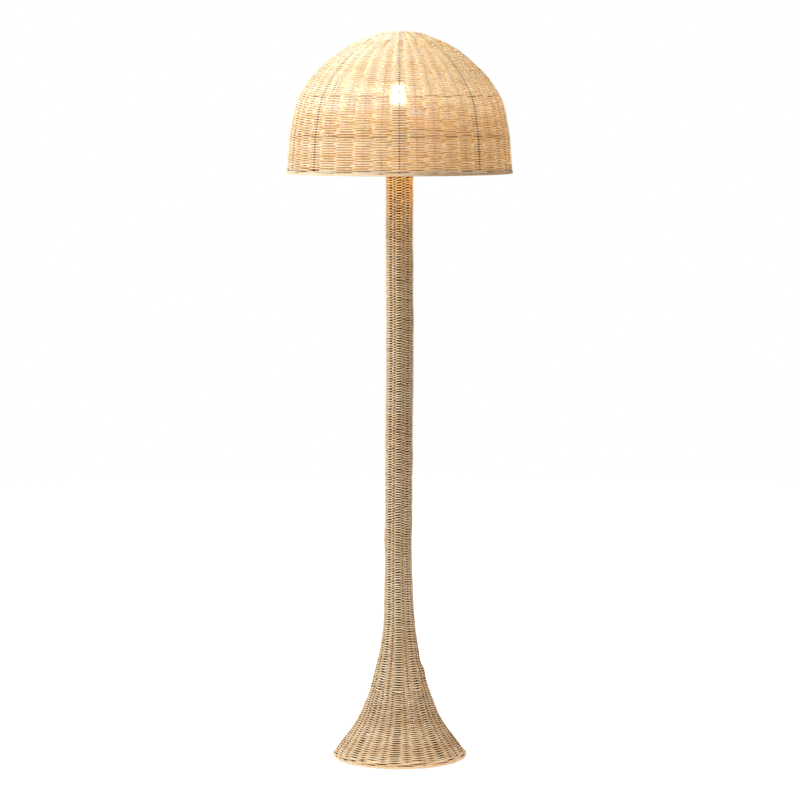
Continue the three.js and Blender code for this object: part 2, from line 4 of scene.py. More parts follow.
import bpy
import numpy as np
from mathutils import Matrix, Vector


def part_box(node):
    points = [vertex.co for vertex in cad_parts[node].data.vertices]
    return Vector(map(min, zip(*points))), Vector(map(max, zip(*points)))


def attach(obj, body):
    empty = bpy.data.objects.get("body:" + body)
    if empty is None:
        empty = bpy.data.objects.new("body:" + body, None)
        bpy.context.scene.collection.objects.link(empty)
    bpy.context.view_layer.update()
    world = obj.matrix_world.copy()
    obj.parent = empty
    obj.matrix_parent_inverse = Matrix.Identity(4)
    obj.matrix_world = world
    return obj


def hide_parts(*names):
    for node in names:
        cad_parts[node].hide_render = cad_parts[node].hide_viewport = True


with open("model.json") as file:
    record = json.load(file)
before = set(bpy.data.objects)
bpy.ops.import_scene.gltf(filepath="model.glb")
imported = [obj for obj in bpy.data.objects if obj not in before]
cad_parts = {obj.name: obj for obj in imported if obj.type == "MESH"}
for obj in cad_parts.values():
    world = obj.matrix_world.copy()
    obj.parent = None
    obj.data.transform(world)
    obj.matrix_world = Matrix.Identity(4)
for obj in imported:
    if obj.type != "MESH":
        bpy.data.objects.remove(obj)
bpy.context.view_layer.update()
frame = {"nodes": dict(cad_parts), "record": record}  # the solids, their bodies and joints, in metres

nodes = frame["nodes"]
mm = 0.001
fullTurn = 2 * math.pi

# Camera and studio

cameraView = {
    "distance": 6.04, "height": 1.376, "aside": 0.0010, "tiltDown": 5.97, "lens": 132.8, "sensor": 36,
    "farthest": 100,
}

whiteStudio = {
    "ambient": 0.35, "ambientColour": (1.0, 0.985, 0.96),  # what the room gives all round
    "floorShade": 0.82, "floorLift": 0.80, "floorReach": 4.5, "floorSides": 64,
}
studioLamps = {
    "key": {"place": (-2.8, -1.3, 3.3), "target": (0, 0, 0.85), "size": 1.6, "power": 191.0,
            "colour": (0.87, 0.955, 1.0), "spread": 180},
    "fill": {"place": (1.8, -1.6, 0.35), "target": (0, 0, 0.05), "size": 0.8, "power": 2.4,
             "colour": (1.0, 0.93, 0.80), "spread": 60},
}


def newCamera():
    data = bpy.data.cameras.new("photo_camera")
    data.sensor_width = cameraView["sensor"]
    data.lens = cameraView["lens"]
    data.clip_end = cameraView["farthest"]
    camera = bpy.data.objects.new("photo_camera", data)
    camera.location = (cameraView["aside"], -cameraView["distance"], cameraView["height"])
    camera.rotation_euler = (math.radians(90 - cameraView["tiltDown"]), 0, 0)
    bpy.context.scene.collection.objects.link(camera)
    bpy.context.scene.camera = camera


def areaLight(name, place, target, size, power, colour, spread):
    data = bpy.data.lights.new(name, "AREA")
    data.shape = "DISK"
    data.size = size
    data.energy = power
    data.color = colour
    data.spread = math.radians(spread)
    light = bpy.data.objects.new(name, data)
    light.location = place
    aim = np.array(target) - np.array(place)
    level = math.hypot(aim[0], aim[1])
    light.rotation_euler = (math.pi / 2 + math.atan2(aim[2], level), 0, math.atan2(-aim[0], aim[1]))
    bpy.context.scene.collection.objects.link(light)


def eyeShare(tree):
    # 1 for rays from the camera and for those that metal or glass sends on
    path = tree.nodes.new("ShaderNodeLightPath")
    first = tree.nodes.new("ShaderNodeMath")
    first.operation = "MAXIMUM"
    second = tree.nodes.new("ShaderNodeMath")
    second.operation = "MAXIMUM"
    tree.links.new(path.outputs["Is Camera Ray"], first.inputs[0])
    tree.links.new(path.outputs["Is Glossy Ray"], first.inputs[1])
    tree.links.new(first.outputs[0], second.inputs[0])
    tree.links.new(path.outputs["Is Transmission Ray"], second.inputs[1])
    return second.outputs[0]


def whiteRoom():
    world = bpy.data.worlds.new("white_room")
    world.use_nodes = True
    bpy.context.scene.world = world
    tree = world.node_tree
    tree.nodes.clear()
    room = tree.nodes.new("ShaderNodeBackground")
    room.inputs["Color"].default_value = (*whiteStudio["ambientColour"], 1)
    room.inputs["Strength"].default_value = whiteStudio["ambient"]
    white = tree.nodes.new("ShaderNodeBackground")
    white.inputs["Color"].default_value = (1, 1, 1, 1)
    white.inputs["Strength"].default_value = 1.0
    choice = tree.nodes.new("ShaderNodeMixShader")
    out = tree.nodes.new("ShaderNodeOutputWorld")
    tree.links.new(eyeShare(tree), choice.inputs["Fac"])
    tree.links.new(room.outputs[0], choice.inputs[1])
    tree.links.new(white.outputs[0], choice.inputs[2])
    tree.links.new(choice.outputs[0], out.inputs["Surface"])


def paleFloor():
    reach, sides = whiteStudio["floorReach"], whiteStudio["floorSides"]
    mesh = bpy.data.meshes.new("studio_floor")
    turns = np.linspace(0, fullTurn, sides, endpoint=False)
    ring = [(reach * math.cos(turn), reach * math.sin(turn), 0) for turn in turns]
    mesh.from_pydata(ring, [], [list(range(sides))])
    floor = bpy.data.objects.new("studio_floor", mesh)
    bpy.context.scene.collection.objects.link(floor)
    paint = bpy.data.materials.new("pale_floor")
    paint.use_nodes = True
    tree = paint.node_tree
    tree.nodes.clear()
    matt = tree.nodes.new("ShaderNodeBsdfDiffuse")
    matt.inputs["Color"].default_value = (*[whiteStudio["floorShade"]] * 3, 1)
    lift = tree.nodes.new("ShaderNodeEmission")
    lift.inputs["Strength"].default_value = whiteStudio["floorLift"]
    both = tree.nodes.new("ShaderNodeAddShader")
    choice = tree.nodes.new("ShaderNodeMixShader")
    out = tree.nodes.new("ShaderNodeOutputMaterial")
    tree.links.new(matt.outputs[0], both.inputs[0])
    tree.links.new(lift.outputs[0], both.inputs[1])
    tree.links.new(eyeShare(tree), choice.inputs["Fac"])
    tree.links.new(matt.outputs[0], choice.inputs[1])
    tree.links.new(both.outputs[0], choice.inputs[2])
    tree.links.new(choice.outputs[0], out.inputs["Surface"])
    mesh.materials.append(paint)


bpy.context.scene.view_settings.view_transform = "Standard"
newCamera()
whiteRoom()
paleFloor()
for side, look in studioLamps.items():
    areaLight(f"{side}_light", **look)
print("camera and studio ready")

# Outlines of the lamp, in millimetres, from the same shares as the solids


def lowOf(name):
    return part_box(name)[0].z / mm


def topOf(name):
    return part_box(name)[1].z / mm


def levelOf(name):
    return (lowOf(name) + topOf(name)) / 2


def reachOf(name):
    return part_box(name)[1].x / mm


lampSize = {
    "columnRadius": 29.6, "flareHeight": 404,
    "wireDepth": 4.3,  # from the outline in to the middle of a stake
    "ringDepth": 8.0,  # and to the middle of a ring, which runs inside the stakes
    "wireRadius": 1.5, "wireSides": 8,
    "wires": 8,  # in the column, and as many ribs in the shade
    "straightPoints": 120,
}

flareShares = [
    (1, 0), (0.929, 0.04), (0.816, 0.082), (0.675, 0.135), (0.53, 0.195), (0.403, 0.27),
    (0.29, 0.357), (0.184, 0.457), (0.096, 0.57), (0.041, 0.695), (0.016, 0.832), (0, 1),
]
shadeShares = [
    (1, 0), (0.989, 0.094), (0.982, 0.198), (0.972, 0.27), (0.958, 0.34), (0.932, 0.444),
    (0.887, 0.549), (0.802, 0.653), (0.732, 0.72), (0.64, 0.791), (0.526, 0.862),
    (0.405, 0.918), (0.281, 0.96), (0.17, 0.988), (0, 1),
]


def smoothLine(points, steps=24):
    # curve through the points, as the solids have it
    points = np.array(points, float)
    padded = np.vstack([points[0], points, points[-1]])
    t = np.linspace(0, 1, steps, endpoint=False)[:, None]
    runs = []
    for before, start, end, after in zip(padded, padded[1:], padded[2:], padded[3:]):
        into, out = (end - before) / 2, (after - start) / 2
        cubic = 2 * start - 2 * end + into + out
        square = -3 * start + 3 * end - 2 * into - out
        runs.append(cubic * t**3 + square * t**2 + into * t + start)
    return np.vstack([*runs, points[-1]])


def offsetLine(outline, depth):
    # the outline moved inwards, with its length and its outward direction at each point
    way = np.gradient(outline, axis=0)
    way /= np.linalg.norm(way, axis=1)[:, None]
    out = np.stack([way[:, 1], -way[:, 0]], 1)
    moved = outline - depth * out
    moved[:, 0] = np.maximum(moved[:, 0], 0)
    length = np.concatenate([[0], np.cumsum(np.linalg.norm(np.diff(moved, axis=0), axis=1))])
    return {"length": length, "radius": moved[:, 0], "height": moved[:, 1], "outR": out[:, 0],
            "outZ": out[:, 1]}


def lineAt(line, length):
    return [np.interp(length, line["length"], line[key]) for key in ("radius", "height", "outR", "outZ")]


def lengthAtHeight(line, height):
    return float(np.interp(height, line["height"], line["length"]))


def lengthAtRadius(line, radius):
    return float(np.interp(-radius, -line["radius"], line["length"]))


shadeBase = lowOf("shade_rim")
shadeHeight = topOf("woven_shade") - shadeBase
shadeRadius = reachOf("shade_rim")
hemBase = lowOf("foot_hem")
hemRadius = reachOf("foot_hem")
poleTop = topOf("pole")
addedHeight = topOf("woven_foot")  # where more stakes are let in for the foot
columnRadius = lampSize["columnRadius"]
shadeOutline = smoothLine([
    (shadeRadius * across, shadeBase + shadeHeight * up) for across, up in shadeShares
])
flareOutline = smoothLine([
    (columnRadius + (hemRadius - columnRadius) * across, hemBase + lampSize["flareHeight"] * up)
    for across, up in flareShares
])
straight = np.linspace(flareOutline[-1], (columnRadius, poleTop), lampSize["straightPoints"])[1:]
standOutline = np.vstack([flareOutline, straight])
shadeLine = offsetLine(shadeOutline, lampSize["wireDepth"])
standLine = offsetLine(standOutline, lampSize["wireDepth"])
shadeRingLine = offsetLine(shadeOutline, lampSize["ringDepth"])
standRingLine = offsetLine(standOutline, lampSize["ringDepth"])

# What the maker's hand leaves uneven

handmade = {
    "rowDrift": 0.4,  # how far rows wander up and down
    "bulge": 0.45,  # how far the weave stands in and out
    "bulgeFrom": 60,  # the radius from which it does so fully
    "bulgeWaves": {"seed": 900, "count": 5, "shortest": 60, "longest": 260, "turns": 6},
    "lean": 0.7,  # how far the column wavers, in waves of a size, a length and a start
    "leanAside": [(0.55, 118, 0.6), (0.45, 47, 2.1)], "leanAway": [(0.6, 133, 1.9)],
    "leanStart": 60, "leanGrowth": 240, "leanEnd": 120,  # it is true at its foot and at its top
    "bow": 2.2, "bowHeight": 430, "bowReach": 260,  # the long bend of the column to its left
    "humpAngle": 84, "humpWidth": 24,  # degrees round the foot, where it swells and draws in
    "humpHeight": 177, "humpSize": 2.2, "humpReach": 11,
    "waistHeight": 201, "waistSize": 1.8, "waistReach": 10,
    "standTurn": -2.0,  # degrees that the stand's stakes are turned
    "hemTurn": -3.0, "hemWidth": 28, "hemReach": 75,  # and how much more the front one is at the hem
    "ribTurn": -4.0, "ribAngle": -45, "ribWidth": 20,  # one rib of the shade stands off its place
}


def ripple(angle, length, seed, count=7, shortest=18, longest=140, turns=9):
    # smooth unevenness over the surface, between about -1 and 1
    draw = np.random.default_rng(seed)
    total = np.zeros(np.broadcast(angle, length).shape)
    for _ in range(count):
        wave = fullTurn / draw.uniform(shortest, longest) * draw.choice([-1, 1])
        total = total + np.sin(draw.integers(0, turns) * angle + wave * length + draw.uniform(0, fullTurn))
    return total / math.sqrt(count)


def nearness(angle, place, width):
    # 1 at an angle round the lamp, in degrees, and 0 well away from it
    away = np.angle(np.exp(1j * (angle - math.radians(place))))
    return np.exp(-((away / math.radians(width)) ** 2))


def peak(value, middle, reach):
    # 1 at the middle, and 0 well away from it
    return np.exp(-(((value - middle) / reach) ** 2))


def standLean(height):
    # the column is a little crooked, and true at both ends
    low = np.clip((height - handmade["leanStart"]) / handmade["leanGrowth"], 0, 1)
    ends = low * np.clip((poleTop - height) / handmade["leanEnd"], 0, 1)
    bow = handmade["bow"] * peak(height, handmade["bowHeight"], handmade["bowReach"])
    aside = sum(size * np.sin(height / length + start) for size, length, start in handmade["leanAside"])
    away = sum(size * np.sin(height / length + start) for size, length, start in handmade["leanAway"])
    return ends * (handmade["lean"] * aside - bow), ends * handmade["lean"] * away


def surfacePoint(line, length, angle, lift):
    # a point at a distance along the outline and at an angle from the front, lifted off the line
    radius, height, outR, outZ = lineAt(line, length)
    bulge = handmade["bulge"] * np.clip(radius / handmade["bulgeFrom"], 0, 1)
    lift = lift + bulge * ripple(angle, length, **handmade["bulgeWaves"])
    aside = away = 0
    if line is standLine:
        aside, away = standLean(height)
        side = nearness(angle, handmade["humpAngle"], handmade["humpWidth"])
        hump = handmade["humpSize"] * peak(height, handmade["humpHeight"], handmade["humpReach"])
        waist = handmade["waistSize"] * peak(height, handmade["waistHeight"], handmade["waistReach"])
        lift = lift + side * (hump - waist)
        hem = nearness(angle, 0, handmade["hemWidth"]) * peak(height, 0, handmade["hemReach"])
        angle = angle + math.radians(handmade["standTurn"]) + math.radians(handmade["hemTurn"]) * hem
    else:
        turned = nearness(angle, handmade["ribAngle"], handmade["ribWidth"])
        angle = angle + math.radians(handmade["ribTurn"]) * turned
    radius = radius + lift * outR
    sine, cosine = np.sin(angle), np.cos(angle)
    place = np.stack([radius * sine + aside, -radius * cosine + away, height + lift * outZ], -1)
    outward = np.stack([outR * sine, -outR * cosine, outZ * np.ones_like(sine)], -1)
    return place, outward


# Meshes are gathered from tubes, each with its grain, its tone and how deep it lies in the weave, which sets
# its painted shade

tubeLook = {
    "tone": 0.5, "sides": 6, "paintedShade": 0.3,
    "edge": 0.2,  # painted shade: how brown a strand is made where rows touch
    "deepening": 2.0, "deepFrom": 0.2,  # painted shade: how fast it darkens as it passes under a stake
}


def newBundle():
    return {"points": [], "quads": [], "grain": [], "tone": [], "paintedShade": [], "paintedGlow": [], "count": 0}


def addTube(bundle, centres, radius, outward, tone=tubeLook["tone"], sides=tubeLook["sides"], closed=False,
            wave=None, paintedShade=tubeLook["paintedShade"], paintedGlow=0.0, edge=tubeLook["edge"]):
    # round tube through the centres; one corner of each section faces outward
    count = len(centres)
    radius = np.broadcast_to(radius, count).astype(float)
    way = np.roll(centres, -1, 0) - np.roll(centres, 1, 0) if closed else np.gradient(centres, axis=0)
    way /= np.linalg.norm(way, axis=1)[:, None]
    beside = np.cross(outward, way)
    beside /= np.linalg.norm(beside, axis=1)[:, None]
    normal = np.cross(way, beside)
    turn = fullTurn * np.arange(sides) / sides
    across = radius[:, None] * np.cos(turn)
    along = radius[:, None] * np.sin(turn)
    points = centres[:, None] + across[..., None] * normal[:, None] + along[..., None] * beside[:, None]
    run = np.concatenate([[0], np.cumsum(np.linalg.norm(np.diff(centres, axis=0), axis=1))])
    grain = np.stack([np.broadcast_to(run[:, None], across.shape), across, along], -1)
    # the painted shade: one even amount on a tube without a wave
    if wave is None:
        deep = np.broadcast_to(np.broadcast_to(paintedShade, count)[:, None], across.shape)
    else:  # painted shade: what faces out is dark where the strand runs inside, and the other way round
        facing = (1 + np.cos(turn)) / 2
        outside = np.clip(-tubeLook["deepening"] * wave - tubeLook["deepFrom"], 0, 1)[:, None]
        inside = np.clip(tubeLook["deepening"] * wave - tubeLook["deepFrom"], 0, 1)[:, None]
        hidden = np.clip(-np.cos(turn), 0, 1)
        deep = (facing * outside + hidden * inside) * np.broadcast_to(paintedShade, count)[:, None]
        deep = np.clip(deep + edge * np.sin(turn) ** 2, 0, 1)  # and more painted shade, browner, where the rows touch
    ring = np.arange(count if closed else count - 1)[:, None] * sides
    here, after = np.arange(sides), (np.arange(sides) + 1) % sides
    following = (ring + sides) % (count * sides)
    quads = np.stack([ring + here, ring + after, following + after, following + here], -1).reshape(-1, 4)
    if not closed:
        last = (count - 1) * sides
        for k in range(1, sides - 2, 2):
            quads = np.vstack([quads, [[0, k + 2, k + 1, k], [last, last + k, last + k + 1, last + k + 2]]])
    bundle["points"].append(points.reshape(-1, 3))
    bundle["grain"].append(grain.reshape(-1, 3))
    bundle["tone"].append(np.repeat(np.broadcast_to(tone, count), sides))
    bundle["paintedShade"].append(deep.reshape(-1))
    bundle["paintedGlow"].append(np.repeat(np.broadcast_to(paintedGlow, count), sides))
    bundle["quads"].append(quads + bundle["count"])
    bundle["count"] += count * sides


def meshFromArrays(name, points, quads):
    mesh = bpy.data.meshes.new(name)
    mesh.vertices.add(len(points))
    mesh.vertices.foreach_set("co", np.ascontiguousarray(points, np.float32).ravel())
    mesh.loops.add(quads.size)
    mesh.polygons.add(len(quads))
    mesh.polygons.foreach_set("loop_start", np.arange(0, quads.size, 4, dtype=np.int32))
    mesh.polygons.foreach_set("vertices", np.ascontiguousarray(quads, np.int32).ravel())
    mesh.polygons.foreach_set("use_smooth", np.ones(len(quads), bool))
    mesh.update(calc_edges=True)
    return mesh


def finishPiece(bundle, name, material, body, replaced=()):
    points = np.vstack(bundle["points"]) * mm
    mesh = meshFromArrays(name, points, np.vstack(bundle["quads"]))
    grain = mesh.attributes.new("grain", "FLOAT_VECTOR", "POINT")
    grain.data.foreach_set("vector", (np.vstack(bundle["grain"]) * mm).astype(np.float32).ravel())
    # the painted shade and the painted glow go on each point, along with the tone
    for key in ("tone", "paintedShade", "paintedGlow"):
        layer = mesh.attributes.new(key, "FLOAT", "POINT")
        layer.data.foreach_set("value", np.concatenate(bundle[key]).astype(np.float32))
    mesh.materials.append(material)
    placePiece(mesh, name, body, replaced)


def placePiece(mesh, name, body, replaced=()):
    piece = bpy.data.objects.new(name, mesh)
    bpy.context.scene.collection.objects.link(piece)
    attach(piece, body)
    if replaced:
        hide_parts(*replaced)


# Materials


def nodeMaterial(name):
    material = bpy.data.materials.new(name)
    material.use_nodes = True
    tree = material.node_tree
    shader = tree.nodes["Principled BSDF"]
    return material, tree, shader


def addNode(tree, kind, **settings):
    node = tree.nodes.new(kind)
    for key, value in settings.items():
        setattr(node, key, value)
    return node


def ramp(tree, source, stops):
    node = addNode(tree, "ShaderNodeValToRGB")
    elements = node.color_ramp.elements
    while len(elements) < len(stops):
        elements.new(0.5)
    for element, (place, colour) in zip(elements, stops):
        element.position = place
        element.color = (*colour, 1)
    tree.links.new(source, node.inputs["Fac"])
    return node.outputs["Color"]


def greyRamp(tree, source, stops):
    return ramp(tree, source, [(place, (grey, grey, grey)) for place, grey in stops])


def noise(tree, vector, scale=1.0, detail=3.0, roughness=0.55):
    node = addNode(tree, "ShaderNodeTexNoise")
    node.inputs["Scale"].default_value = scale
    node.inputs["Detail"].default_value = detail
    node.inputs["Roughness"].default_value = roughness
    tree.links.new(vector, node.inputs["Vector"])
    return node.outputs["Fac"]


def scaled(tree, vector, scale):
    node = addNode(tree, "ShaderNodeMapping")
    node.inputs["Scale"].default_value = scale
    tree.links.new(vector, node.inputs["Vector"])
    return node.outputs["Vector"]


def mixColour(tree, share, first, second):
    node = addNode(tree, "ShaderNodeMix", data_type="RGBA")
    for socket, value in ((node.inputs[0], share), (node.inputs[6], first), (node.inputs[7], second)):
        if isinstance(value, bpy.types.NodeSocket):
            tree.links.new(value, socket)
        else:
            socket.default_value = value if isinstance(value, (int, float)) else (*value, 1)
    return node.outputs[2]


def tinted(tree, first, second):
    node = addNode(tree, "ShaderNodeMix", data_type="RGBA", blend_type="MULTIPLY")
    node.inputs[0].default_value = 1
    tree.links.new(first, node.inputs[6])
    tree.links.new(second, node.inputs[7])
    return node.outputs[2]


def addBump(tree, shader, height, strength, distance):
    node = addNode(tree, "ShaderNodeBump")
    node.inputs["Strength"].default_value = strength
    node.inputs["Distance"].default_value = distance
    tree.links.new(height, node.inputs["Height"])
    tree.links.new(node.outputs["Normal"], shader.inputs["Normal"])


rattanLook = {
    "tones": [(0.0, (0.40, 0.19, 0.08)), (0.3, (0.67, 0.405, 0.20)), (0.6, (0.87, 0.57, 0.315)),
              (1.0, (0.98, 0.75, 0.49))],
    "streak": (0.89, 0.72, 0.51), "soil": (0.50, 0.31, 0.16),
    "deep": (0.068, 0.020, 0.004), "deepPale": (0.19, 0.070, 0.016),  # painted shade, where a strand lies deep in the weave
    # how much painted shade shows, and between which depths it grows
    "deepShare": 1.0, "deepStart": 0.15, "deepEnd": 0.75, "roughness": 0.5, "sheen": 0.09, "glow": 0.0,
    "fibreScale": (18, 900, 900), "fibreStops": [(0.35, 0), (0.7, 0.55)],  # fine streaks along the strand
    "soilScale": (22, 60, 60), "soilStops": [(0.28, 0.5), (0.5, 0)],  # brown patches
    "patchScale": (30, 0, 0), "patchStops": [(0.4, 0), (0.62, 1)],  # where the painted shade is paler
    "bump": 0.25, "bumpDepth": 0.0003,
}
shadeLook = {
    "tones": [(0.0, (0.55, 0.36, 0.19)), (0.3, (0.80, 0.64, 0.43)), (0.6, (0.90, 0.83, 0.75)),
              (1.0, (0.95, 0.94, 0.95))],
    "streak": (0.97, 0.91, 0.76), "soil": (0.68, 0.47, 0.24),
    # painted shade in the shade's weave is a lighter brown
    "deep": (0.36, 0.18, 0.055), "deepPale": (0.62, 0.40, 0.16), "deepShare": 0.92,
    "glareStrength": 2.6, "warmGlare": (1.0, 0.76, 0.44), "whiteGlare": (1.0, 1.0, 0.98),
    "glareStart": 0.2, "glareEnd": 0.8,  # painted glow: emission on the strands stands in for the bulb's light behind them, white in the bright spot
    # real translucency, whose colour is darker where the painted shade lies
    "glow": 0.5, "through": (0.98, 0.89, 0.56), "throughShare": 0.5, "deepThrough": (0.70, 0.50, 0.22),
}


def rattanMaterial(name, look):
    material, tree, shader = nodeMaterial(name)
    tone = addNode(tree, "ShaderNodeAttribute", attribute_name="tone").outputs["Fac"]
    paintedShade = addNode(tree, "ShaderNodeAttribute", attribute_name="paintedShade").outputs["Fac"]
    grain = addNode(tree, "ShaderNodeAttribute", attribute_name="grain").outputs["Vector"]
    base = ramp(tree, tone, look["tones"])
    fibre = noise(tree, scaled(tree, grain, look["fibreScale"]), detail=4.0, roughness=0.6)
    cloud = noise(tree, scaled(tree, grain, look["soilScale"]), detail=2.0)
    streaked = mixColour(tree, greyRamp(tree, fibre, look["fibreStops"]), base, look["streak"])
    soiled = mixColour(tree, greyRamp(tree, cloud, look["soilStops"]), streaked, look["soil"])
    # painted shade: the colour darkens where the strand lies deep in the weave and where rows touch
    deepness = greyRamp(tree, paintedShade, [(look["deepStart"], 0), (look["deepEnd"], look["deepShare"])])
    patch = noise(tree, scaled(tree, grain, look["patchScale"]), detail=1.0)
    depth = mixColour(tree, greyRamp(tree, patch, look["patchStops"]), look["deep"], look["deepPale"])
    shaded = mixColour(tree, deepness, soiled, depth)
    tree.links.new(shaded, shader.inputs["Base Color"])
    shader.inputs["Roughness"].default_value = look["roughness"]
    shader.inputs["Specular IOR Level"].default_value = look["sheen"]
    addBump(tree, shader, fibre, look["bump"], look["bumpDepth"])
    if look["glow"]:  # light from inside comes through the strands, and they also get a painted glow
        # painted glow: emission, warm over the weave and white in the bright spot before the bulb
        paintedGlow = addNode(tree, "ShaderNodeAttribute", attribute_name="paintedGlow").outputs["Fac"]
        level = addNode(tree, "ShaderNodeMath", operation="MULTIPLY")
        tree.links.new(paintedGlow, level.inputs[0])
        level.inputs[1].default_value = look["glareStrength"]
        tree.links.new(level.outputs[0], shader.inputs["Emission Strength"])
        stops = [(look["glareStart"], look["warmGlare"]), (look["glareEnd"], look["whiteGlare"])]
        tint = ramp(tree, paintedGlow, stops)
        tree.links.new(tinted(tree, shaded, tint), shader.inputs["Emission Color"])
        # the translucent colour is darker where the painted shade lies
        through = addNode(tree, "ShaderNodeBsdfTranslucent")
        outer = mixColour(tree, look["throughShare"], soiled, look["through"])
        tree.links.new(mixColour(tree, deepness, outer, look["deepThrough"]), through.inputs["Color"])
        choice = addNode(tree, "ShaderNodeMixShader")
        choice.inputs["Fac"].default_value = look["glow"]
        tree.links.new(shader.outputs[0], choice.inputs[1])
        tree.links.new(through.outputs[0], choice.inputs[2])
        tree.links.new(choice.outputs[0], tree.nodes["Material Output"].inputs["Surface"])
    return material


shadeRattan = rattanMaterial("shade_rattan", {**rattanLook, **shadeLook})
columnRattan = rattanMaterial("column_rattan", rattanLook)

wireLook = {
    "black": [(0.3, (0.010, 0.005, 0.003)), (0.62, (0.024, 0.012, 0.007)), (0.8, (0.05, 0.025, 0.012))],
    "brown": [(0.3, (0.20, 0.09, 0.03)), (0.62, (0.32, 0.16, 0.06)), (0.8, (0.42, 0.24, 0.10))],
    "patch": 90.0, "roughness": 0.6, "sheen": 0.04, "grain": 700.0, "bump": 0.2, "bumpDepth": 0.0002,
}


def wireMaterial(name, tones):
    material, tree, shader = nodeMaterial(name)
    place = addNode(tree, "ShaderNodeTexCoord").outputs["Object"]
    lacquer = ramp(tree, noise(tree, place, wireLook["patch"], detail=4.0), tones)
    tree.links.new(lacquer, shader.inputs["Base Color"])
    shader.inputs["Roughness"].default_value = wireLook["roughness"]
    shader.inputs["Specular IOR Level"].default_value = wireLook["sheen"]
    addBump(tree, shader, noise(tree, place, wireLook["grain"]), wireLook["bump"], wireLook["bumpDepth"])
    return material


frameWire = wireMaterial("lacquered_wire", wireLook["black"])
ringWire = wireMaterial("brown_ring_wire", wireLook["brown"])

# Weave

weaveLook = {
    "pitch": 2.65, "strandRadius": 1.28,  # from row to row, and the strand that suits it
    "sway": 2.75,  # how far a strand passes outside and inside the stakes
    "swayShare": 0.36,  # and its limit where stakes stand close, of the space between two
    "crossing": 5.0,  # how far either side of the middle between two stakes it changes over
    "snapRange": (1.5, 3.0),  # how sharply it does
    "ragged": 0.3,  # how uneven the places are where it changes over
    "raggedWaves": {"count": 5, "shortest": 6, "longest": 30, "turns": 25},
    "swell": 0.10,  # how much thicker it shows where it stands out
    "thickWave": (0.04, 61),  # size and length of what its thickness wanders
    "toneMiddle": 0.63, "toneSpread": 0.17, "toneRange": (0.05, 0.98), "darkShare": 0.10, "darkStep": 0.25,
    "toneWaves": [(0.05, 97), (0.04, 23)],  # size and length, along a strand
    "runLength": (1500, 3800),  # of one length of rattan before the next is let in
    "endFade": 8, "partingFade": 14,  # rows lie true at both ends, and part near a ring
    "spotLift": 0.8,  # how far strands stand out before the bulb
}

plainWeave = {
    "turnOffset": 0.0,  # how far round from the front the stakes stand
    "pitch": weaveLook["pitch"], "steps": 6,  # points from stake to stake
    "drift": handmade["rowDrift"], "partings": (),
    "wider": 0.0, "narrow": 0.0,  # one strand shows longer than the other, and how quickly both go deep
    "edge": tubeLook["edge"],
    "thin": None, "uneven": None, "flatter": None,  # functions that change thickness and sway by place
    "toneLift": None, "shallow": None, "lifted": None, "paintedGlowBy": None,  # and tone, painted shade, lift and painted glow
}


def strandTones(run, draw, middle):
    ends = np.cumsum(draw.uniform(*weaveLook["runLength"], int(run[-1] / weaveLook["runLength"][0]) + 4))
    tones = np.clip(draw.normal(middle, weaveLook["toneSpread"], len(ends) + 1), *weaveLook["toneRange"])
    tones[draw.random(len(tones)) < weaveLook["darkShare"]] -= weaveLook["darkStep"]
    slow = 0
    for size, length in weaveLook["toneWaves"]:
        slow = slow + size * np.sin(run / length + draw.uniform(0, fullTurn))
    return np.clip(tones[np.searchsorted(ends, run)] + slow, 0.0, 1.0)


def strandOf(line, base, length, angle, wave, sway, draw, middle, thin=None):
    place, outward = surfacePoint(line, length, angle, sway * wave)
    run = np.concatenate([[0], np.cumsum(np.linalg.norm(np.diff(place, axis=0), axis=1))])
    height = place[:, 2]
    tone = strandTones(run, draw, middle)
    size, waveLength = weaveLook["thickWave"]
    thick = weaveLook["strandRadius"] * (1 + weaveLook["swell"] * wave * wave)
    thick = thick * (1 + size * np.sin(run / waveLength + draw.uniform(0, fullTurn)))
    if thin:
        thick = thick * thin(height, angle)
    paintedShade = np.ones_like(height)
    return {"base": base, "place": place, "outward": outward, "wave": wave, "tone": tone, "thick": thick,
            "paintedShade": paintedShade, "paintedGlow": 0 * paintedShade, "edge": tubeLook["edge"]}


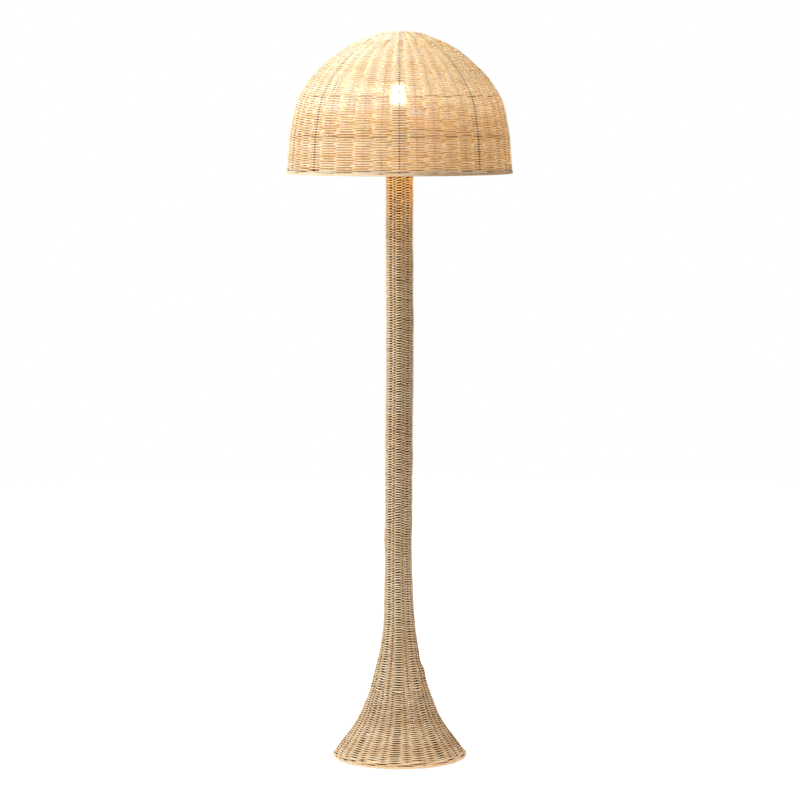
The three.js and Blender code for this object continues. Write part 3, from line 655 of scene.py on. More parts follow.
def spinWeave(line, low, high, stakes, seed, **changes):
    # two strands wound side by side; each passes over every second stake, and they change over between
    how = {**plainWeave, **changes}
    pitch, perTurn = how["pitch"], stakes * how["steps"]
    count = max(int(round((high - low - pitch) / (2 * pitch) * perTurn)), 3)
    draw = np.random.default_rng(seed)
    strands = []
    for strand in range(2):
        start = math.pi * (strand + 1)
        angle = start + fullTurn * np.arange(count + 1) / perTurn
        base = low + pitch / 2 + 2 * pitch * (angle - start) / fullTurn
        fade = weaveLook["endFade"]
        inside = np.clip((base - low) / fade, 0, 1) * np.clip((high - base) / fade, 0, 1)
        length = base + how["drift"] * inside * ripple(angle, base, seed + 11)
        for level, width in how["partings"]:  # rows that stand apart over a ring
            near = np.exp(-np.abs(base - level) / weaveLook["partingFade"])
            length = length + width / 2 * near * np.clip((length - level) / pitch, -1, 1)
        radius, height = lineAt(line, length)[:2]
        spacing = fullTurn * radius / stakes
        sway = np.minimum(weaveLook["sway"], weaveLook["swayShare"] * spacing)
        if how["flatter"]:
            sway = sway * how["flatter"](height)
        early = weaveLook["ragged"] * ripple(angle, base, seed + 17 + strand, **weaveLook["raggedWaves"])
        beat = (np.cos(stakes / 2 * (angle - how["turnOffset"]) + early) + how["wider"]) * (1 - 2 * strand)
        snap = np.clip(spacing / (math.pi * weaveLook["crossing"]), *weaveLook["snapRange"])
        wave = np.tanh(snap * beat) / np.tanh(snap * (1 + how["wider"]))
        spot = how["lifted"](height, angle) if how["lifted"] else np.zeros_like(wave)
        wave = wave + spot * (weaveLook["spotLift"] - wave)
        made = strandOf(line, base, length, angle, wave, sway, draw, weaveLook["toneMiddle"], how["thin"])
        height = made["place"][:, 2]
        # painted glow over the weave, and a white painted highlight in the bright spot
        made["paintedGlow"] = np.maximum(spot, how["paintedGlowBy"](height)) if how["paintedGlowBy"] else spot
        made["wave"] = wave * np.abs(wave) ** how["narrow"]
        made["thick"] = made["thick"] * pitch / weaveLook["pitch"]
        made["edge"] = how["edge"]
        if how["uneven"]:
            made["thick"] = made["thick"] * how["uneven"](angle, height, wave)
        if how["toneLift"]:
            made["tone"] = np.clip(made["tone"] + how["toneLift"](height), 0, 1)
        # how much painted shade the strand gets, by place
        if how["shallow"]:
            made["paintedShade"] = how["shallow"](angle, height)
        strands.append(made)
    return strands


def layStrands(strands, bundles, cuts=()):
    # the same strands run on from one piece into the next
    for strand in strands:
        edges = [0, *np.searchsorted(strand["base"], cuts), len(strand["base"]) - 1]
        for bundle, start, end in zip(bundles, edges, edges[1:]):
            if end > start:
                part = slice(start, end + 1)
                addTube(bundle, strand["place"][part], strand["thick"][part], strand["outward"][part],
                        strand["tone"][part], wave=strand["wave"][part], paintedShade=strand["paintedShade"][part],
                        paintedGlow=strand["paintedGlow"][part], edge=strand["edge"])


walingLook = {
    "rows": 3, "repeat": 3,  # each strand's way comes back after so many stakes
    "rise": 2.45, "drift": 0.25, "steps": 6,  # points from stake to stake
    "snap": 2.2, "outside": 0.42,  # how sharply a strand changes over, and how long it stays outside
    "tighter": 0.1, "tone": 0.5, "depth": 1.0,
}


def layWaling(bundle, line, low, stakes, seed, tone=walingLook["tone"], depth=walingLook["depth"]):
    # strands that each run over two stakes and behind one, a stake apart
    draw = np.random.default_rng(seed)
    perTurn = stakes * walingLook["steps"]
    for row in range(walingLook["rows"]):
        angle = math.pi + fullTurn * np.arange(perTurn + 1) / perTurn
        base = np.full_like(angle, low + walingLook["rise"] * row)
        length = base + walingLook["drift"] * ripple(angle, base, seed + row)
        count = stakes * angle / fullTurn - row
        around = np.cos(fullTurn * count / walingLook["repeat"])
        wave = np.tanh(walingLook["snap"] * (walingLook["outside"] - around))
        sway = weaveLook["sway"] - walingLook["tighter"]
        strand = strandOf(line, base, length, angle, wave, sway, draw, tone)
        # the waling's painted shade, scaled by depth
        strand["paintedShade"] = strand["paintedShade"] * depth
        layStrands([strand], [bundle])


stakeLook = {
    # stakes get painted shade, as they lie deep in the weave
    "radius": 1.2, "step": 7.0, "paintedShade": 0.9, "tone": 0.45, "spread": 0.12, "toneRange": (0.1, 0.95),
}


def layStakes(bundle, line, low, high, angles, seed, radius=stakeLook["radius"], sides=tubeLook["sides"],
              step=stakeLook["step"]):
    # stakes or wires along the outline, each at its own angle, or at one that changes along it
    draw = np.random.default_rng(seed)
    for angle in angles:
        length = np.linspace(low, high, max(int((high - low) / step), 4))
        turn = angle(length) if callable(angle) else np.full_like(length, angle)
        place, _ = surfacePoint(line, length, turn, 0)
        sidewards = np.stack([np.cos(turn), np.sin(turn), np.zeros_like(turn)], -1)
        tone = np.clip(draw.normal(stakeLook["tone"], stakeLook["spread"]), *stakeLook["toneRange"])
        addTube(bundle, place, radius, sidewards, tone, sides, paintedShade=stakeLook["paintedShade"])


def wirePiece(name, node, body, line, low, high, angle, seed, step):
    wire = newBundle()
    layStakes(wire, line, low, high, [angle], seed, lampSize["wireRadius"], lampSize["wireSides"], step)
    finishPiece(wire, name, frameWire, body, [node])


borderBend = {  # in stakes along the border, from where one turns down to where it is tucked in
    "start": -0.15, "end": 3.1, "points": 27, "outOver": 0.4, "inFrom": 2.35, "inOver": 0.6,
    "dropFrom": 0.72, "dropOver": 0.62,
    "playAcross": 0.3, "playUp": 0.24, "sides": 8, "paintedShade": 0.1, "tuckedShade": 0.7,
}


def layBorder(bundle, look, count, reach, level, seed):
    # each stake turns down and runs outside its two neighbours, then tucks in behind the third
    draw = np.random.default_rng(seed)
    bend = borderBend
    gap = fullTurn / count
    share = np.linspace(bend["start"], bend["end"], bend["points"])

    def ease(value):
        value = np.clip(value, 0, 1)
        return value * value * (3 - 2 * value)

    back = ease((share - bend["inFrom"]) / bend["inOver"])
    out = ease((share - bend["start"]) / bend["outOver"]) * (1 - back)
    drop = ease((share - bend["dropFrom"]) / bend["dropOver"])
    for i in range(count):
        angle = gap * (i + share)
        radius = reach - look["rod"] - look["tuck"] * (1 - out) - draw.uniform(0, bend["playAcross"])
        height = level + look["rod"] + look["rise"] * (1 - drop) + draw.uniform(0, bend["playUp"])
        place = np.stack([radius * np.sin(angle), -radius * np.cos(angle), height], -1)
        outward = np.stack([np.sin(angle), -np.cos(angle), np.zeros_like(angle)], -1)
        tone = np.clip(draw.normal(look["tone"], look["spread"]), *stakeLook["toneRange"])
        # a rod gets painted shade, more where it is tucked in behind
        addTube(bundle, place, look["rod"], outward, tone, bend["sides"],
                paintedShade=bend["paintedShade"] + bend["tuckedShade"] * (1 - out))


def hoopPiece(node, line, body, steps):
    bundle = newBundle()
    angle = np.linspace(0, fullTurn, steps, endpoint=False)
    radius, height = lineAt(line, lengthAtHeight(line, levelOf(node)))[:2]
    aside, away = standLean(height) if line is standRingLine else (0, 0)
    sine, cosine, level = np.sin(angle), np.cos(angle), np.full(steps, height)
    place = np.stack([radius * sine + aside, -radius * cosine + away, level], -1)
    outward = np.stack([sine, -cosine, np.zeros(steps)], -1)
    addTube(bundle, place, lampSize["wireRadius"], outward, sides=lampSize["wireSides"], closed=True)
    wire = ringWire if body == "shade" else frameWire
    finishPiece(bundle, f"{node}_wire", wire, body, [node])


# Shade

shadeWeave = {
    "stakes": 40, "stakesPerRib": 5, "pitch": 2.5, "steps": 8, "fullness": 1.05, "drift": 0.22,
    "rimHeight": 4.9, "walingDrop": 0.6, "startRise": 3.0, "stakeDrop": 3,  # rows begin over the border
    "middleParting": 0.5,  # how far rows part over the ring half way up
    "pairedBelow": 85, "spokeRows": 26, "middleRows": 13, "topRows": 3,  # radii in the crown
    "crownStakes": [(20, 4.5), (16, 0), (8, 0), (4, 0)], "crownOver": 2.6,  # how many, and degrees turned
    "pairFrom": 110, "pairOver": 25, "pairGap": 1.35, "ribGap": 3.0, "leastRadius": 30,  # stakes close up
    "stakeOver": 3, "spokes": 16, "spokeOver": 4, "spokeEnd": 4,  # and thin spokes go on to the top
    "holderLevel": 1325, "holderReach": 30, "holderWidth": 9, "holderCover": 0.13,  # fuller in front of it
    "glowBase": 0.097, "glowPeak": 0.045, "glowLevel": 1345, "glowReach": 50,  # painted glow on the weave, highest level with the bulb
    "spotLevel": 1369.5, "spotReach": 19, "spotTurn": -0.6, "spotAngle": 4.2,  # the bright spot in front, where rows stand out and get a painted highlight
    "spotWaist": 1373, "upperShare": 0.84, "waistSlope": 1.5, "waistReach": 2.8, "waistDepth": 0.75,
    "paleAbove": 1330, "paleReach": 110, "paintedLightLift": 0.15,  # painted light: the crown is made paler
    "paintedShadeCut": 0.4, "crownFlat": 0.35,  # with less painted shade, and shallower gaps
}

rimTop = lengthAtHeight(shadeLine, shadeBase + shadeWeave["rimHeight"])
ringRows = {name: lengthAtHeight(shadeLine, levelOf(name))
            for name in ("middle_ring", "shoulder_ring", "upper_ring")}
pairLength = lengthAtRadius(shadeLine, shadeWeave["pairedBelow"])
crownRadius = reachOf("crown_ring") - lampSize["wireRadius"]
crownLength = lengthAtRadius(shadeLine, crownRadius)


def bulbSpot(height, angle):
    # 1 where the rows lie outside before the bulb, in two fields with a waist between them; there the weave
    # also gets a white painted highlight
    look = shadeWeave
    away = (height - look["spotLevel"]) / look["spotReach"]
    width = look["spotAngle"] * np.where(height > look["spotWaist"], look["upperShare"], 1.0)
    aside = np.degrees(np.angle(np.exp(1j * (angle - math.radians(look["spotTurn"]))))) / width
    slope = look["waistSlope"] * aside
    waist = look["waistDepth"] * peak(height - look["spotWaist"], slope, look["waistReach"])
    return np.exp(-(away**6) - aside**6) * (1 - waist)


def crownShare(height):
    return np.clip((height - shadeWeave["paleAbove"]) / shadeWeave["paleReach"], 0, 1)


def paintedCrownLight(height):
    # painted light: the crown's tone is made paler
    return shadeWeave["paintedLightLift"] * crownShare(height)


def crownPaintedShade(angle, height):
    # less painted shade towards the crown
    return 1 - shadeWeave["paintedShadeCut"] * crownShare(height)


def crownSway(height):
    return 1 - shadeWeave["crownFlat"] * crownShare(height)


def fullStrand(height, angle):
    # closer in front of the lampholder, which would show dark between the rows
    look = shadeWeave
    level = np.exp(-(((height - look["holderLevel"]) / look["holderReach"]) ** 4))
    return look["fullness"] + look["holderCover"] * (nearness(angle, 0, look["holderWidth"]) * level)


def paintedBulbGlow(height):
    # painted glow: the weave's emission is highest level with the bulb
    level = peak(height, shadeWeave["glowLevel"], shadeWeave["glowReach"])
    return shadeWeave["glowBase"] + shadeWeave["glowPeak"] * level


shadeHow = {
    "pitch": shadeWeave["pitch"], "steps": shadeWeave["steps"], "drift": shadeWeave["drift"],
    "toneLift": paintedCrownLight, "shallow": crownPaintedShade, "flatter": crownSway, "thin": fullStrand, "paintedGlowBy": paintedBulbGlow,
}
shadeBundles = [newBundle() for _ in range(4)]
layWaling(shadeBundles[0], shadeLine, rimTop - shadeWeave["walingDrop"], shadeWeave["stakes"], seed=20)
sideStrands = spinWeave(
    shadeLine, rimTop + shadeWeave["startRise"], pairLength, shadeWeave["stakes"], seed=21,
    partings=[(ringRows["middle_ring"], shadeWeave["middleParting"])], lifted=bulbSpot, **shadeHow,
)
layStrands(sideStrands, shadeBundles, list(ringRows.values()))
crownSteps = [pairLength, crownLength]
for key in ("spokeRows", "middleRows", "topRows"):
    crownSteps.append(lengthAtRadius(shadeLine, shadeWeave[key]))
for i, (stakes, degrees) in enumerate(shadeWeave["crownStakes"]):
    crownStrands = spinWeave(shadeLine, crownSteps[i] - shadeWeave["crownOver"], crownSteps[i + 1], stakes,
                             seed=26 + i, turnOffset=math.radians(degrees), **shadeHow)
    layStrands(crownStrands, shadeBundles[3:])
for bundle, name in zip(shadeBundles, ("lower", "middle", "upper", "crown")):
    finishPiece(bundle, f"shade_weave_{name}", shadeRattan, "shade", ["woven_shade"])
print("shade woven")


def pairedStake(index):
    # stakes run straight down the side and close up in pairs under the crown
    look = shadeWeave
    home = fullTurn * index / look["stakes"]
    partner = index + 1 if index % 2 == 0 else index - 1
    toRib = partner % look["stakesPerRib"] == 0

    def turn(length):
        radius = lineAt(shadeLine, length)[0]
        near = np.clip((look["pairFrom"] - radius) / look["pairOver"], 0, 1)
        near = near * near * (3 - 2 * near)
        place = partner if toRib else (index + partner) / 2
        gap = look["ribGap" if toRib else "pairGap"] / np.maximum(radius, look["leastRadius"])
        gap = gap * (1 if index > partner else -1)
        return home + near * (fullTurn * place / look["stakes"] + gap - home)

    return turn


stakeBundle = newBundle()
lightStakes = [pairedStake(i) for i in range(shadeWeave["stakes"]) if i % shadeWeave["stakesPerRib"]]
layStakes(stakeBundle, shadeLine, rimTop - shadeWeave["stakeDrop"], crownLength + shadeWeave["stakeOver"],
          lightStakes, seed=31)
spokes = [fullTurn * (i + 0.5) / shadeWeave["spokes"] for i in range(shadeWeave["spokes"])]
spokeEnd = lengthAtRadius(shadeLine, shadeWeave["spokeEnd"])
layStakes(stakeBundle, shadeLine, crownLength - shadeWeave["spokeOver"], spokeEnd, spokes, seed=32)
finishPiece(stakeBundle, "shade_stakes", shadeRattan, "shade")

ribStart = lengthAtHeight(shadeLine, lowOf("shade_rib_1"))
ribEnd = lengthAtHeight(shadeLine, topOf("shade_rib_1") - lampSize["wireRadius"])
for i in range(lampSize["wires"]):
    wirePiece(f"rib_{i + 1}", f"shade_rib_{i + 1}", "shade", shadeLine, ribStart, ribEnd,
              fullTurn * i / lampSize["wires"], seed=40 + i, step=5.0)
for node in ("rim_ring", "middle_ring", "shoulder_ring", "upper_ring", "crown_ring"):
    hoopPiece(node, shadeRingLine, "shade", steps=160)

rimBorder = {"rod": 1.16, "tuck": 4.3, "rise": 2.2, "tone": 0.6, "spread": 0.12}
rimBundle = newBundle()
layBorder(rimBundle, rimBorder, shadeWeave["stakes"], shadeRadius, shadeBase, seed=51)
finishPiece(rimBundle, "shade_rim_border", columnRattan, "shade", ["shade_rim"])
print("shade framed and bordered")

# Column and foot

columnWeave = {
    # the strands here get more painted shade where rows touch
    "stakes": 16, "pitch": 2.6, "drift": 1.4 * handmade["rowDrift"], "edge": 0.55, "overlap": 2.6,
    "stakeDepth": 0.6, "openDepth": 0.16,  # painted shade: how dark the openings are beside a stake, and away from it
    "wireCell": 0.4,  # how much longer than the thin stakes' cells those over the wires are
    "wireOver": 0.05, "wireUnder": 0.3,  # how much fuller and thinner the strands are there
    "wireReach": 4.2, "wireSpread": 0.03, "stakeReach": 1.8,  # how far the openings, and their painted shade, go to the side
    "openFade": 1.5, "toneLift": 0.11,
    "goldenAbove": 1130, "goldenOver": 60, "goldenStep": 0.26,  # painted shade: the top of the column, under the shade, is made browner
}
footWeave = {
    "stakes": 32, "pitch": 2.42, "wireCell": 0.2, "narrow": 0.8,
    "flat": 0.4, "flatBelow": 110, "flatOver": 60,  # it sways less low down
    # the waling at the hem gets less painted shade
    "hemHeight": 5.2, "walingDrop": 0.6, "walingTone": 0.7, "walingDepth": 0.45, "startRise": 3.4,
    "stakeDrop": 2, "addedOver": 8,  # stakes start under the hem's rows, and those let in end over the join
    "paleBelow": 60, "paleOver": 20, "paintedLightLift": 0.22,  # painted highlight: the lowest rows are made paler
    "paleAngle": 55, "paintedShadeCut": 0.4,  # with less painted shade in their gaps in front
}

columnTop = lengthAtHeight(standLine, topOf("woven_column"))
joinLength = lengthAtHeight(standLine, addedHeight)
ringLengths = [lengthAtHeight(standLine, levelOf(f"column_ring_{i}")) for i in (1, 2, 3)]


def offStake(angle, radius, stakes):
    # along the weave to the middle of the nearest of so many stakes
    step = fullTurn / stakes
    return radius * np.abs(np.mod(angle + step / 2, step) - step / 2)


def nearWire(angle, height):
    look = columnWeave
    radius = np.interp(height, standLine["height"], standLine["radius"])
    reach = look["wireReach"] + look["wireSpread"] * (radius - lampSize["columnRadius"])
    return np.clip(look["openFade"] - offStake(angle, radius, lampSize["wires"]) / reach, 0, 1)


def lowShare(height):
    return np.clip((footWeave["paleBelow"] - height) / footWeave["paleOver"], 0, 1)


def paintedShadeAtWires(angle, height):
    # painted shade in the openings: dark over the thick frame wires, less so over the thin stakes, and less
    # in the pale front rows low down
    look = columnWeave
    radius = np.interp(height, standLine["height"], standLine["radius"])
    stakes = np.where(height > addedHeight, look["stakes"], footWeave["stakes"])
    thinStake = np.clip(look["openFade"] - offStake(angle, radius, stakes) / look["stakeReach"], 0, 1)
    depth = look["openDepth"] + (look["stakeDepth"] - look["openDepth"]) * thinStake
    depth = depth + (1 - depth) * nearWire(angle, height)
    pale = lowShare(height) * nearness(angle, 0, footWeave["paleAngle"])
    return depth * (1 - footWeave["paintedShadeCut"] * pale)


def openAtWires(angle, height, wave):
    # over a wire the inner strand is hidden and the outer one lies wide
    fuller = columnWeave["wireOver"] * np.clip(wave, 0, 1)
    thinner = columnWeave["wireUnder"] * np.clip(-wave, 0, 1)
    return 1 + nearWire(angle, height) * (fuller - thinner)


def footSway(height):
    return 1 - footWeave["flat"] * np.clip((footWeave["flatBelow"] - height) / footWeave["flatOver"], 0, 1)


def paintedShadeTop(height):
    # painted shade: the tone darkens towards the column's top, under the shade
    share = np.clip((height - columnWeave["goldenAbove"]) / columnWeave["goldenOver"], 0, 1)
    return columnWeave["toneLift"] - columnWeave["goldenStep"] * share


standHow = {"drift": columnWeave["drift"], "edge": columnWeave["edge"], "shallow": paintedShadeAtWires,
            "uneven": openAtWires}
columnBundles = [newBundle() for _ in range(4)]
columnStrands = spinWeave(
    standLine, joinLength - columnWeave["overlap"], columnTop, columnWeave["stakes"], seed=64,
    pitch=columnWeave["pitch"], wider=columnWeave["wireCell"], toneLift=paintedShadeTop, **standHow,
)
layStrands(columnStrands, columnBundles, ringLengths)
for i, bundle in enumerate(columnBundles):
    finishPiece(bundle, f"column_weave_{i + 1}", columnRattan, "stand", ["woven_column"])


def footToneAndHighlight(height):
    # the foot's tone, with a painted highlight on its lowest rows
    return columnWeave["toneLift"] / 2 + footWeave["paintedLightLift"] * lowShare(height)


hemTop = lengthAtHeight(standLine, hemBase + footWeave["hemHeight"])
footBundle = newBundle()
layWaling(footBundle, standLine, hemTop - footWeave["walingDrop"], footWeave["stakes"], seed=69,
          tone=footWeave["walingTone"], depth=footWeave["walingDepth"])
footStrands = spinWeave(
    standLine, hemTop + footWeave["startRise"], joinLength + columnWeave["overlap"], footWeave["stakes"],
    seed=70, pitch=footWeave["pitch"], wider=footWeave["wireCell"], narrow=footWeave["narrow"],
    flatter=footSway, toneLift=footToneAndHighlight, **standHow,
)
layStrands(footStrands, [footBundle])
finishPiece(footBundle, "foot_weave", columnRattan, "stand", ["woven_foot"])

stakeBundle = newBundle()
stakeStart = hemTop - footWeave["stakeDrop"]
lightAngles = [fullTurn * (i + 0.5) / lampSize["wires"] for i in range(lampSize["wires"])]
layStakes(stakeBundle, standLine, stakeStart, columnTop, lightAngles, seed=71)
addedAngles = [fullTurn * (i + 0.5) / columnWeave["stakes"] for i in range(columnWeave["stakes"])]
layStakes(stakeBundle, standLine, stakeStart, joinLength + footWeave["addedOver"], addedAngles, seed=72)
finishPiece(stakeBundle, "column_stakes", columnRattan, "stand")

wireStart, wireEnd = lengthAtHeight(standLine, lowOf("column_wire_1")), lengthAtHeight(standLine, poleTop)
for i in range(lampSize["wires"]):
    wirePiece(f"stand_wire_{i + 1}", f"column_wire_{i + 1}", "stand", standLine, wireStart, wireEnd,
              fullTurn * i / lampSize["wires"], seed=80 + i, step=6.0)
for node in ("column_ring_1", "column_ring_2", "column_ring_3", "column_top_ring"):
    hoopPiece(node, standRingLine, "stand", steps=48)
hoopPiece("flare_ring", standRingLine, "stand", steps=72)

hemBorder = {"rod": 1.28, "tuck": 5.2, "rise": 2.4, "tone": 0.74, "spread": 0.12}
hemBundle = newBundle()
layBorder(hemBundle, hemBorder, footWeave["stakes"], hemRadius, hemBase, seed=73)
finishPiece(hemBundle, "foot_hem_border", columnRattan, "stand", ["foot_hem"])
print("column and foot woven")

# Metal, plastic, porcelain and glass finishes on the solids that stay

plainFinish = {
    "weight": {"colour": (0.03, 0.03, 0.032), "worn": (0.07, 0.068, 0.065), "roughness": 0.55,
               "metallic": 0.3, "grain": 240.0, "bump": 0.5},
    "zinc": {"colour": (0.5, 0.51, 0.53), "worn": (0.66, 0.66, 0.66), "roughness": 0.34,
             "metallic": 1.0, "grain": 160.0, "bump": 0.1},
    "dark_zinc": {"colour": (0.018, 0.013, 0.010), "worn": (0.035, 0.026, 0.019), "roughness": 0.6,
                  "metallic": 0.2, "grain": 120.0, "bump": 0.2},  # on the pole, hardly seen inside the weave
    "felt": {"colour": (0.045, 0.042, 0.04), "worn": (0.09, 0.085, 0.08), "roughness": 0.95,
             "metallic": 0.0, "grain": 1500.0, "bump": 0.8},
    "black_plastic": {"colour": (0.018, 0.018, 0.02), "worn": (0.035, 0.035, 0.037), "roughness": 0.4,
                      "metallic": 0.0, "grain": 900.0, "bump": 0.15},
    "porcelain": {"colour": (0.86, 0.84, 0.79), "worn": (0.8, 0.77, 0.71), "roughness": 0.25,
                  "metallic": 0.0, "grain": 60.0, "bump": 0.05},
    "brass": {"colour": (0.78, 0.57, 0.24), "worn": (0.6, 0.42, 0.17), "roughness": 0.3,
              "metallic": 1.0, "grain": 200.0, "bump": 0.1},
    "nickel": {"colour": (0.7, 0.69, 0.66), "worn": (0.56, 0.55, 0.52), "roughness": 0.28,
               "metallic": 1.0, "grain": 180.0, "bump": 0.1},
    "flex": {"colour": (0.02, 0.02, 0.021), "worn": (0.04, 0.04, 0.042), "roughness": 0.55,
             "metallic": 0.0, "grain": 500.0, "bump": 0.2},
}


def plainMaterial(name, look):
    material, tree, shader = nodeMaterial(name)
    place = addNode(tree, "ShaderNodeTexCoord").outputs["Object"]
    patch = noise(tree, place, look["grain"] / 4, detail=4.0)
    colour = ramp(tree, patch, [(0.35, look["colour"]), (0.75, look["worn"])])
    tree.links.new(colour, shader.inputs["Base Color"])
    shader.inputs["Roughness"].default_value = look["roughness"]
    shader.inputs["Metallic"].default_value = look["metallic"]
    addBump(tree, shader, noise(tree, place, look["grain"]), look["bump"], 0.0004)
    return material


bulbLook = {
    "colour": (1.0, 0.96, 0.88), "cloud": (0.93, 0.9, 0.83), "cloudScale": 30.0, "roughness": 0.3,
    "glow": (1.0, 0.90, 0.72), "strength": 1.3,
    "lampPower": 36.0, "lampColour": (1.0, 0.89, 0.64), "lampRadius": 0.0245,
    "bouncePower": 0.85, "bounceColour": (1.0, 0.52, 0.0),  # what the shade's inside sends down
    "bounceSize": 0.24, "bounceSpread": 120,
}


def opalMaterial():
    material, tree, shader = nodeMaterial("opal_glass_finish")
    place = addNode(tree, "ShaderNodeTexCoord").outputs["Object"]
    clouds = noise(tree, place, bulbLook["cloudScale"])
    colour = ramp(tree, clouds, [(0.3, bulbLook["cloud"]), (0.7, bulbLook["colour"])])
    tree.links.new(colour, shader.inputs["Base Color"])
    shader.inputs["Roughness"].default_value = bulbLook["roughness"]
    shader.inputs["Emission Color"].default_value = (*bulbLook["glow"], 1)
    shader.inputs["Emission Strength"].default_value = bulbLook["strength"]
    return material


finishes = {name: plainMaterial(f"{name}_finish", look) for name, look in plainFinish.items()}
finishes["frame_wire"] = frameWire
finishes["rattan"] = columnRattan
finishes["opal_glass"] = opalMaterial()

# Turned and moulded fittings round the bulb, in place of the plain solids

holderLook = {
    "capRadius": 20.5, "capNeck": 9.0, "capBore": 5.3, "capWall": 3.0, "capShoulder": 8.0,
    "flangeRadius": 22.6, "flangeHeight": 3.0, "threadRadius": 19.6, "threadBore": 16.2, "floorBore": 6.0,
    "floorHeight": 1.7, "threadPitch": 2.8, "threadDepth": 0.9, "threadEnds": 4.0,
    "threadStep": 0.4, "nutRadius": 25.1, "nutBore": 20.0, "notches": 24, "notchDepth": 0.8, "notchSides": 12,
    "corner": 0.7, "sides": 96, "sharpAngle": 50,
}

bulbShape = {
    "capPitch": 3.62, "capDepth": 0.8, "capRadius": 13.0, "capFoot": 11.4, "corner": 0.5, "threadStep": 0.45,
    "neck": 12.3, "neckHeight": 5.0, "globe": 22.5, "globeFrom": -40, "globeSweep": 130, "globeSteps": 32,
}

spiderLook = {
    "bore": 20.0, "radius": 26.6, "thickness": 2.0, "spokes": 4, "spoke": 1.5, "fall": 10.0, "weld": 0.6,
    "corner": 0.5, "points": 24, "sides": 12,
}

bushLook = {
    "length": 20.0, "headDepth": 2.5, "headRadius": 8.0, "tipRadius": 6.75, "bodyRadius": 6.5, "bore": 3.4,
    "turn": 196.875, "reach": 132.71, "corner": 0.4, "sides": 48,
}


def softened(profile, size):
    # each corner of a profile in three short steps
    made = []
    points = [np.array(point, float) for point in profile]
    for before, here, after in zip(points, points[1:], points[2:]):
        back, on = before - here, after - here
        reach = min(size, 0.4 * np.linalg.norm(back), 0.4 * np.linalg.norm(on))
        start = here + back / np.linalg.norm(back) * reach
        end = here + on / np.linalg.norm(on) * reach
        made += [start, 0.25 * start + 0.5 * here + 0.25 * end, end]
    return np.array([points[0], *made, points[-1]])


def filled(profile, step):
    # points no further apart than a step, so that a thread can be cut
    made = [profile[0]]
    for start, end in zip(profile, profile[1:]):
        count = max(int(math.ceil(np.linalg.norm(end - start) / step)), 1)
        made += [start + (end - start) * k / count for k in range(1, count + 1)]
    return np.array(made)


def closedProfile(points):
    # a ring's outline, closed on itself in the middle of its first side
    middle = (np.array(points[0], float) + np.array(points[1], float)) / 2
    return [middle, *points[1:], points[0], middle]


def turnedMesh(name, profile, sides, carve=None):
    # a profile turned round the axis, in millimetres; carve gives a point its own radius
    points, faces, rows = [], [], []
    for radius, height in profile:
        if radius < 1e-6:
            rows.append([len(points)] * sides)
            points.append((0, 0, height))
            continue
        rows.append(list(range(len(points), len(points) + sides)))
        for k in range(sides):
            turn = fullTurn * k / sides
            own = carve(radius, height, turn) if carve else radius
            points.append((own * math.sin(turn), -own * math.cos(turn), height))
    if len(profile) > 2 and np.allclose(profile[0], profile[-1]):
        del points[-sides:]
        rows[-1] = rows[0]
    for low, high in zip(rows, rows[1:]):
        for k in range(sides):
            after = (k + 1) % sides
            faces.append(tuple(dict.fromkeys([low[k], low[after], high[after], high[k]])))
    mesh = bpy.data.meshes.new(name)
    mesh.from_pydata([tuple(mm * part for part in point) for point in points], [], faces)
    mesh.polygons.foreach_set("use_smooth", np.ones(len(faces), bool))
    mesh.set_sharp_from_angle(angle=math.radians(holderLook["sharpAngle"]))
    return mesh


def fineFitting(name, mesh, slotName, body, replaced):
    mesh.materials.append(finishes[slotName])
    placePiece(mesh, name, body, [replaced])


def threadCut(low, high, pitch, depth, radius):
    # a rounded groove that climbs round the wall and fades out at both ends
    def carve(own, height, turn):
        if own < radius - 0.01 or own > radius + 0.01:
            return own
        share = min(max(height - low, 0), max(high - height, 0), pitch) / pitch
        phase = height / pitch - turn / fullTurn
        return own - depth * share * (0.5 - 0.5 * math.cos(fullTurn * phase))
    return carve


def holderCapMesh():
    top, low, look = topOf("holder_cap"), lowOf("holder_cap"), holderLook
    shoulder, inside = low + look["capShoulder"], look["capRadius"] - look["capWall"]
    outline = [(look["capBore"], low), (look["capNeck"], low), (look["capRadius"], shoulder),
               (look["capRadius"], top), (inside, top), (inside, shoulder),
               (look["capNeck"], low + look["capWall"]), (look["capBore"], low + look["capWall"])]
    return turnedMesh("holder_cap_shape", softened(closedProfile(outline), look["corner"]), look["sides"])


def holderSleeveMesh():
    top, low, look = topOf("holder_sleeve"), lowOf("holder_sleeve"), holderLook
    flange, wall = low + look["flangeHeight"], look["threadRadius"]
    floor = low + look["floorHeight"]
    outline = [(look["floorBore"], low), (look["flangeRadius"], low), (look["flangeRadius"], flange),
               (wall, flange), (wall, top), (look["threadBore"], top), (look["threadBore"], floor),
               (look["floorBore"], floor)]
    profile = filled(softened(closedProfile(outline), look["corner"] / 2), look["threadStep"])
    carve = threadCut(flange + look["threadEnds"], top - look["threadEnds"] / 2, look["threadPitch"],
                      look["threadDepth"], wall)
    return turnedMesh("holder_sleeve_shape", profile, look["sides"], carve)


def ringNutMesh():
    top, low, look = topOf("ring_nut"), lowOf("ring_nut"), holderLook

    def notched(own, height, turn):
        if own < look["nutRadius"] - 1:
            return own
        return own - look["notchDepth"] * max(0, math.cos(look["notches"] * turn)) ** 2
    outline = [(look["nutBore"], low), (look["nutRadius"], low), (look["nutRadius"], top),
               (look["nutBore"], top)]
    profile = softened(closedProfile(outline), look["corner"])
    return turnedMesh("ring_nut_shape", profile, look["notchSides"] * look["notches"], notched)


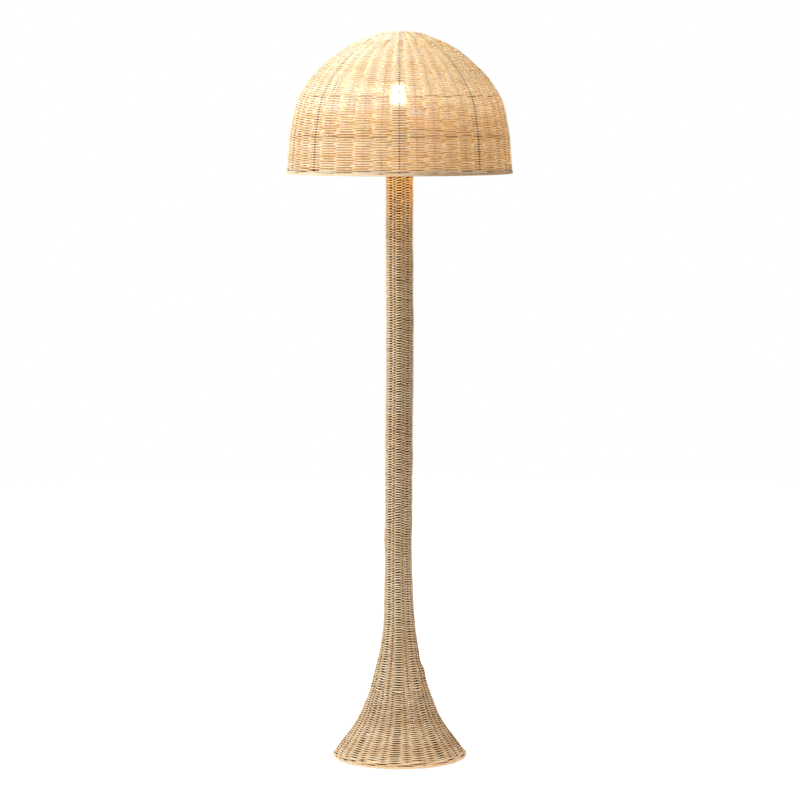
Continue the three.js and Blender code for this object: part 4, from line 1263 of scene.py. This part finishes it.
def bulbCapMesh():
    top, low, look = topOf("bulb_cap"), lowOf("bulb_cap"), bulbShape
    outline = [(0, low), (look["capFoot"], low), (look["capRadius"], low + look["capPitch"] / 2),
               (look["capRadius"], top), (0, top)]
    profile = filled(softened(outline, look["corner"]), look["threadStep"])
    carve = threadCut(low + look["capPitch"] / 2, top - look["capPitch"] / 2, look["capPitch"],
                      look["capDepth"], look["capRadius"])
    return turnedMesh("bulb_cap_shape", profile, holderLook["sides"], carve)


def bulbGlassMesh():
    top, low, look = topOf("bulb_glass"), lowOf("bulb_glass"), bulbShape
    middle, steps = top - look["globe"], look["globeSteps"]
    outline = [(0, low), (look["neck"], low), (look["neck"], low + look["neckHeight"])]
    for step in range(steps + 1):
        rise = math.radians(look["globeFrom"] + look["globeSweep"] * step / steps)
        across = look["globe"] * math.cos(rise) if step < steps else 0
        outline.append((across, middle + look["globe"] * math.sin(rise)))
    return turnedMesh("bulb_glass_shape", outline, holderLook["sides"])


def cordBushMesh():
    look = bushLook
    end = look["length"]
    outline = [(look["bore"], 0), (look["bodyRadius"], 0), (look["bodyRadius"], end - look["headDepth"]),
               (look["headRadius"], end - look["headDepth"]), (look["tipRadius"], end), (look["bore"], end)]
    mesh = turnedMesh("cord_bush_shape", softened(closedProfile(outline), look["corner"]), look["sides"])
    turn, start = math.radians(look["turn"]), look["reach"] - look["length"]
    place = (mm * start * math.sin(turn), -mm * start * math.cos(turn), mm * levelOf("cord_bush"))
    lying = Matrix.Rotation(turn, 4, "Z") @ Matrix.Rotation(math.radians(90), 4, "X")
    mesh.transform(Matrix.Translation(place) @ lying)
    return mesh


def spokeBundle():
    look, bundle = spiderLook, newBundle()
    hub = topOf("shade_spider") - look["thickness"] / 2
    start = look["radius"] - look["weld"]
    tip = reachOf("shade_spider") * math.sqrt(2) - look["spoke"]
    share = np.linspace(0, 1, look["points"])
    far, height = start + (tip - start) * share, hub - look["fall"] * share
    for k in range(look["spokes"]):
        turn = fullTurn * (k + 0.5) / look["spokes"]
        centres = np.stack([far * math.sin(turn), -far * math.cos(turn), height], -1)
        addTube(bundle, centres, look["spoke"], np.array([0, 0, 1.0]), sides=look["sides"])
    return bundle


def spiderRingMesh():
    top, look = topOf("shade_spider"), spiderLook
    low = top - look["thickness"]
    outline = [(look["bore"], low), (look["radius"], low), (look["radius"], top), (look["bore"], top)]
    profile = softened(closedProfile(outline), look["corner"])
    return turnedMesh("spider_ring_shape", profile, holderLook["sides"])


for name, mesh, slotName, body in (
        ("holder_cap", holderCapMesh(), "black_plastic", "stand"),
        ("holder_sleeve", holderSleeveMesh(), "black_plastic", "stand"),
        ("ring_nut", ringNutMesh(), "black_plastic", "shade_nut"),
        ("shade_spider", spiderRingMesh(), "frame_wire", "shade"),
        ("bulb_cap", bulbCapMesh(), "nickel", "bulb"),
        ("bulb_glass", bulbGlassMesh(), "opal_glass", "bulb"),
        ("cord_bush", cordBushMesh(), "black_plastic", "stand")):
    fineFitting(f"{name}_fine", mesh, slotName, body, name)
finishPiece(spokeBundle(), "shade_spokes", frameWire, "shade", ["shade_spider"])
print("fittings turned")

slotOfNode = {entry["node"]: entry["material_slot"] for entry in frame["record"]["subparts"]}
for name, node in nodes.items():
    finish = "dark_zinc" if name in ("pole", "pole_socket") else slotOfNode.get(name)
    if finish in finishes:
        for place in node.material_slots:
            place.material = finishes[finish]

lamp = bpy.data.lights.new("bulb_light", "POINT")
lamp.energy = bulbLook["lampPower"]
lamp.color = bulbLook["lampColour"]
lamp.shadow_soft_size = bulbLook["lampRadius"]
lampObject = bpy.data.objects.new("bulb_light", lamp)
lampObject.location = (0, 0, (topOf("bulb_glass") - bulbShape["globe"]) * mm)
lampObject.visible_camera = False
bpy.context.scene.collection.objects.link(lampObject)
bounceLevel = lowOf("shade_spider") * mm
areaLight("shade_bounce", (0, 0, bounceLevel), (0, 0, 0), bulbLook["bounceSize"], bulbLook["bouncePower"],
          bulbLook["bounceColour"], bulbLook["bounceSpread"])
bpy.data.objects["shade_bounce"].visible_camera = False
print("finishes set")
